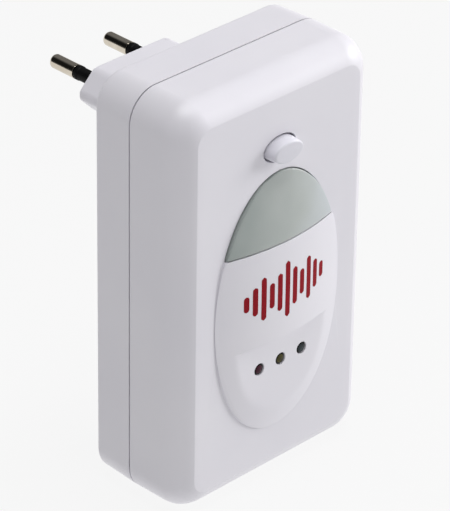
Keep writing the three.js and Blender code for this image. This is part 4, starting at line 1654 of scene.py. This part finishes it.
@dataclass
class SoundMark:
    """A plain printed row of upright bars of different heights, which stands for sound."""

    sizes: CaseSizes
    oval: RaisedOval
    heights: tuple[float, ...] = (4.6, 8.3, 12.6, 7.4, 11.0, 16.4, 11.0, 7.4, 12.6, 8.3, 4.6)
    pitch: float = 2.7
    bar_width: float = 1.65
    centre_z: float = -0.4
    ink: float = 0.03

    def build(self, finishes: Finishes) -> None:
        """Builds and dresses the mark.

        Args:
            finishes: The device's finishes.
        """
        skin = Skin()
        middle = (len(self.heights) - 1) / 2
        for number, height in enumerate(self.heights):
            x = (number - middle) * self.pitch
            self.bar(skin, x, height)
        skin.finish("sound_mark", Body.CASE, [finishes.mark])

    def bar(self, skin: Skin, x: float, height: float) -> None:
        """One bar with round ends, which follows the crown.

        Args:
            skin: The mesh to build it in.
            x: Its place across.
            height: Its height.
        """
        half = self.bar_width / 2
        made = bmesh.ops.create_grid(skin.mesh, x_segments=6, y_segments=26, size=1.0)["verts"]
        reach = max(v.co.x for v in made)
        straight = height / 2 - half
        for corner in made:
            across, along = corner.co.x / reach, corner.co.y / reach
            z = along * height / 2
            beyond = max(abs(z) - straight, 0.0)
            width = math.sqrt(max(half * half - beyond * beyond, (0.12 * half) ** 2))
            px, pz = x + across * width, self.centre_z + z
            corner.co = (px, self.sizes.front_face - self.oval.relief(px, pz) - self.ink, pz)
        faces = [f for f in skin.mesh.faces if all(v in set(made) for v in f.verts)]
        sheet = bmesh.ops.extrude_face_region(skin.mesh, geom=faces)
        back = [item for item in sheet["geom"] if isinstance(item, bmesh.types.BMVert)]
        bmesh.ops.translate(skin.mesh, vec=(0, self.ink + 0.04, 0), verts=back)


# ---- What is inside ------------------------------------------------------------------------------


class Electronics:
    """The board and the parts on it, whose shapes come with the frame and get their finishes here."""

    RESISTORS = {
        "power_resistor": ("7fa3b5", ("7b4a22", "1a1a1a", "b3181f", "b8933a")),
        "bleed_resistor": ("cdb184", ("d0571e", "d0571e", "2f7d3a", "b8933a")),
        "timing_resistor": ("cdb184", ("7b4a22", "1a1a1a", "d0571e", "b8933a")),
        "indicator_resistor": ("cdb184", ("b3181f", "b3181f", "b3181f", "b8933a")),
    }

    def __init__(self, finishes: Finishes) -> None:
        """Makes the finishes that only show inside.

        Args:
            finishes: The device's finishes.
        """
        chip = Coating("moulded_epoxy", "26262a", "1c1c20", (0.5, 0.65), 0.3, 0.006).build()
        red = Coating("red_insulation_pvc", "a82426", "951d20", (0.35, 0.5), 2.0, 0.004).build()
        blue = Coating("blue_insulation_pvc", "2f4f94", "284481", (0.35, 0.5), 2.0, 0.004).build()
        own: dict[str, Coating | Wound | Metal] = {
            "main_board": Coating("phenolic_laminate", "b89258", "a17c45", (0.5, 0.65), 1.4,
                                  stretch=(0.3, 1.0, 1.0)),
            "switch_body": Coating("switch_housing", "303137", "26272c", (0.45, 0.6), 0.4, 0.008),
            "film_capacitor": Coating("film_capacitor_case", "dcb531", "cfa628", (0.35, 0.5), 0.8, 0.01),
            "filter_capacitor": Coating("printed_can_sleeve", "293659", "212c4a", (0.25, 0.4), 2.5, 0.004),
            "surge_disc": Coating("dipped_disc_coat", "33649f", "29548a", (0.4, 0.55), 0.9, 0.03),
            "transformer_core": Coating("sintered_ferrite", "424245", "333336", (0.65, 0.8), 0.25, 0.02),
            "transformer_winding": Wound("wound_tape", "dcbc40", "a98b25", 1.6),
            "sound_disc": Metal("brass_disc", "cfa651", "b98f3c", (0.25, 0.4), (0.1, 1.0, 1.0)),
            "sound_ceramic": Coating("silvered_ceramic", "dcd8cc", "c9c5b8", (0.4, 0.55), 0.5, 0.01),
        }
        self.table: dict[str, bpy.types.Material] = {node: finish.build() for node, finish in own.items()}
        self.table |= {"sound_lead_red": red, "mains_lead_red": red, "sound_lead_blue": blue,
                       "mains_lead_blue": blue, "switch_plunger": finishes.black}
        for node in ("rectifier", "fuse", "control_chip", "transistor_1", "transistor_2"):
            self.table[node] = chip
        for number in range(1, 5):
            self.table[f"board_screw_{number}"] = finishes.steel

    def dress(self) -> None:
        """Gives each part its finish."""
        banded = {node: Banded(f"{node}_paint", *paint) for node, paint in self.RESISTORS.items()}
        banded["zener_diode"] = Banded("diode_glass_tint", "a65a2c", ("1a1a1a",), (0.12, 0.2))
        for node, finish in banded.items():
            low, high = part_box(node)
            self.table[node] = finish.build_for(low.x, high.x)
        for node, material in sorted(self.table.items()):
            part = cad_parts[node]
            if not part.data.materials:
                part.data.materials.append(material)
            for number in range(len(part.data.materials)):
                part.data.materials[number] = material
            log.info("%s: %s", node, material.name)


# ---- Studio --------------------------------------------------------------------------------------


@dataclass(frozen=True)
class SoftLight:
    """A soft box, aimed at the device."""

    name: str
    at: Point
    width: float
    height: float
    power: float

    def place(self, target: Vector) -> None:
        """Puts the light up.

        Args:
            target: What it is aimed at.
        """
        data = bpy.data.lights.new(self.name, "AREA")
        data.shape = "RECTANGLE"
        data.size, data.size_y = self.width, self.height
        data.energy = self.power
        lamp = put(self.name, data)
        lamp.location = self.at
        lamp.rotation_euler = (target - Vector(self.at)).to_track_quat("-Z", "Y").to_euler()


@dataclass(frozen=True)
class Studio:
    """A pale floor, a pale surround, soft light and the camera."""

    azimuth: float = -45.03
    elevation: float = 30.47
    roll: float = 0.89
    distance: float = 911.74
    aim: Point = (-0.44, 0.0, 0.0)
    lens: float = 247.8
    surround: float = 0.2
    dark_towards: Point = (-0.53, 0.68, 0.5)
    dark_edge: tuple[float, float] = (0.78, 0.95)
    darkness: float = 0.01
    floor_size: float = 6.0
    floor_gap: float = 0.0001
    floor_glow: float = 0.885
    lights: tuple[SoftLight, ...] = (
        SoftLight("overhead", (0.05, -0.1, 1.8), 1.2, 1.2, 25.0),
        SoftLight("right", (1.55, -0.75, 0.5), 0.9, 0.9, 20.0),
    )

    def camera(self) -> None:
        """Puts up the camera."""
        azimuth, elevation, roll = (math.radians(v) for v in (self.azimuth, self.elevation, self.roll))
        back = Vector((math.sin(azimuth) * math.cos(elevation), -math.cos(azimuth) * math.cos(elevation),
                       math.sin(elevation)))
        right = (-back).cross(Vector((0, 0, 1))).normalized()
        up = right.cross(-back)
        across = right * math.cos(roll) + up * math.sin(roll)
        upright = up * math.cos(roll) - right * math.sin(roll)
        data = bpy.data.cameras.new("camera")
        data.lens = self.lens
        data.clip_start, data.clip_end = 0.05, 20.0
        eye = put("camera", data)
        turn = Matrix((across, upright, back)).transposed().to_4x4()
        place = frame_origin() + Vector(self.aim) * MM + back * self.distance * MM
        eye.matrix_world = Matrix.Translation(place) @ turn
        bpy.context.scene.camera = eye

    def floor(self) -> None:
        """Lays the floor under the device."""
        sheet = NodeSheet("pale_floor")
        sheet.paint(sheet.noise(3, 2), [(0.3, "3e3e3e"), (0.7, "404040")])
        sheet.roughen(sheet.noise(9, 2), (0.85, 0.95))
        sheet.set(Specular_IOR_Level=0.05, Emission_Color=(1.0, 1.0, 1.0, 1.0),
                  Emission_Strength=self.floor_glow)
        skin = Skin()
        made = bmesh.ops.create_grid(skin.mesh, x_segments=4, y_segments=4, size=self.floor_size)["verts"]
        bmesh.ops.translate(skin.mesh, vec=(0, 0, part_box("front_cover")[0].z - self.floor_gap), verts=made)
        plane = skin.as_object("floor")
        skin.mesh.free()
        plane.data.materials.append(sheet.material)

    def surroundings(self) -> None:
        """Makes the pale surround."""
        world = bpy.data.worlds.new("surround")
        world.use_nodes = True
        nodes, links = world.node_tree.nodes, world.node_tree.links
        ground = next(n for n in nodes if n.type == "BACKGROUND")
        ground.inputs["Color"].default_value = (0.98, 0.98, 1.0, 1.0)
        towards = nodes.new("ShaderNodeVectorMath")
        towards.operation = "DOT_PRODUCT"
        towards.inputs[1].default_value = self.dark_towards
        strength = nodes.new("ShaderNodeMapRange")
        limits = (*self.dark_edge, self.surround, self.darkness)
        for name, value in zip(("From Min", "From Max", "To Min", "To Max"), limits):
            strength.inputs[name].default_value = value
        links.new(nodes.new("ShaderNodeTexCoord").outputs["Generated"], towards.inputs[0])
        links.new(towards.outputs["Value"], strength.inputs["Value"])
        links.new(strength.outputs["Result"], ground.inputs["Strength"])
        bpy.context.scene.world = world

    def build(self) -> None:
        """Puts up the whole studio."""
        bpy.context.scene.view_settings.view_transform = "Standard"
        self.camera()
        self.floor()
        self.surroundings()
        target = frame_origin()
        for light in self.lights:
            light.place(target)


def main() -> None:
    """Builds and dresses the device, and puts up the studio."""
    logging.basicConfig(level=logging.INFO, format="%(name)s: %(message)s")
    finishes = Finishes()
    sizes, oval = CaseSizes(), RaisedOval()
    Studio().build()
    FrontCover(sizes, oval).build(finishes)
    RearCover(sizes).build(finishes)
    for number, (x, z) in enumerate(sizes.screw_places(), start=1):
        CaseScrew(x, z).build(number, finishes)
    NightLightWindow(sizes, oval).build(finishes)
    PushButton(sizes).build(finishes)
    # Each indicator's front has its outer ring in near-black: painted shade of the gap round the lamp.
    for colour, x in (("red", -sizes.lamp_x), ("yellow", 0.0), ("green", sizes.lamp_x)):
        Lamp(sizes, f"{colour}_indicator", f"indicator_led_{colour}", f"{colour}_led", colour, x,
             sizes.lamp_z, radius=1.66, tip=-20.42, base=-14.95, dome=0.5, painted_shade_ring=True).build(finishes)
    for side in Side:
        label = side.name.lower()
        Lamp(sizes, f"night_lamp_{label}", f"night_light_led_{label}", "clear_led", "clear", side.value * 6.5,
             21.5, radius=2.5, tip=-17.9, base=sizes.board_rear, dome=2.5).build(finishes)
        pin = PlugPin(sizes, side)
        pin.build_pin(finishes)
        pin.build_sleeve(finishes)
    SoundMark(sizes, oval).build(finishes)
    Electronics(finishes).dress()


if __name__ == "__main__":
    main()
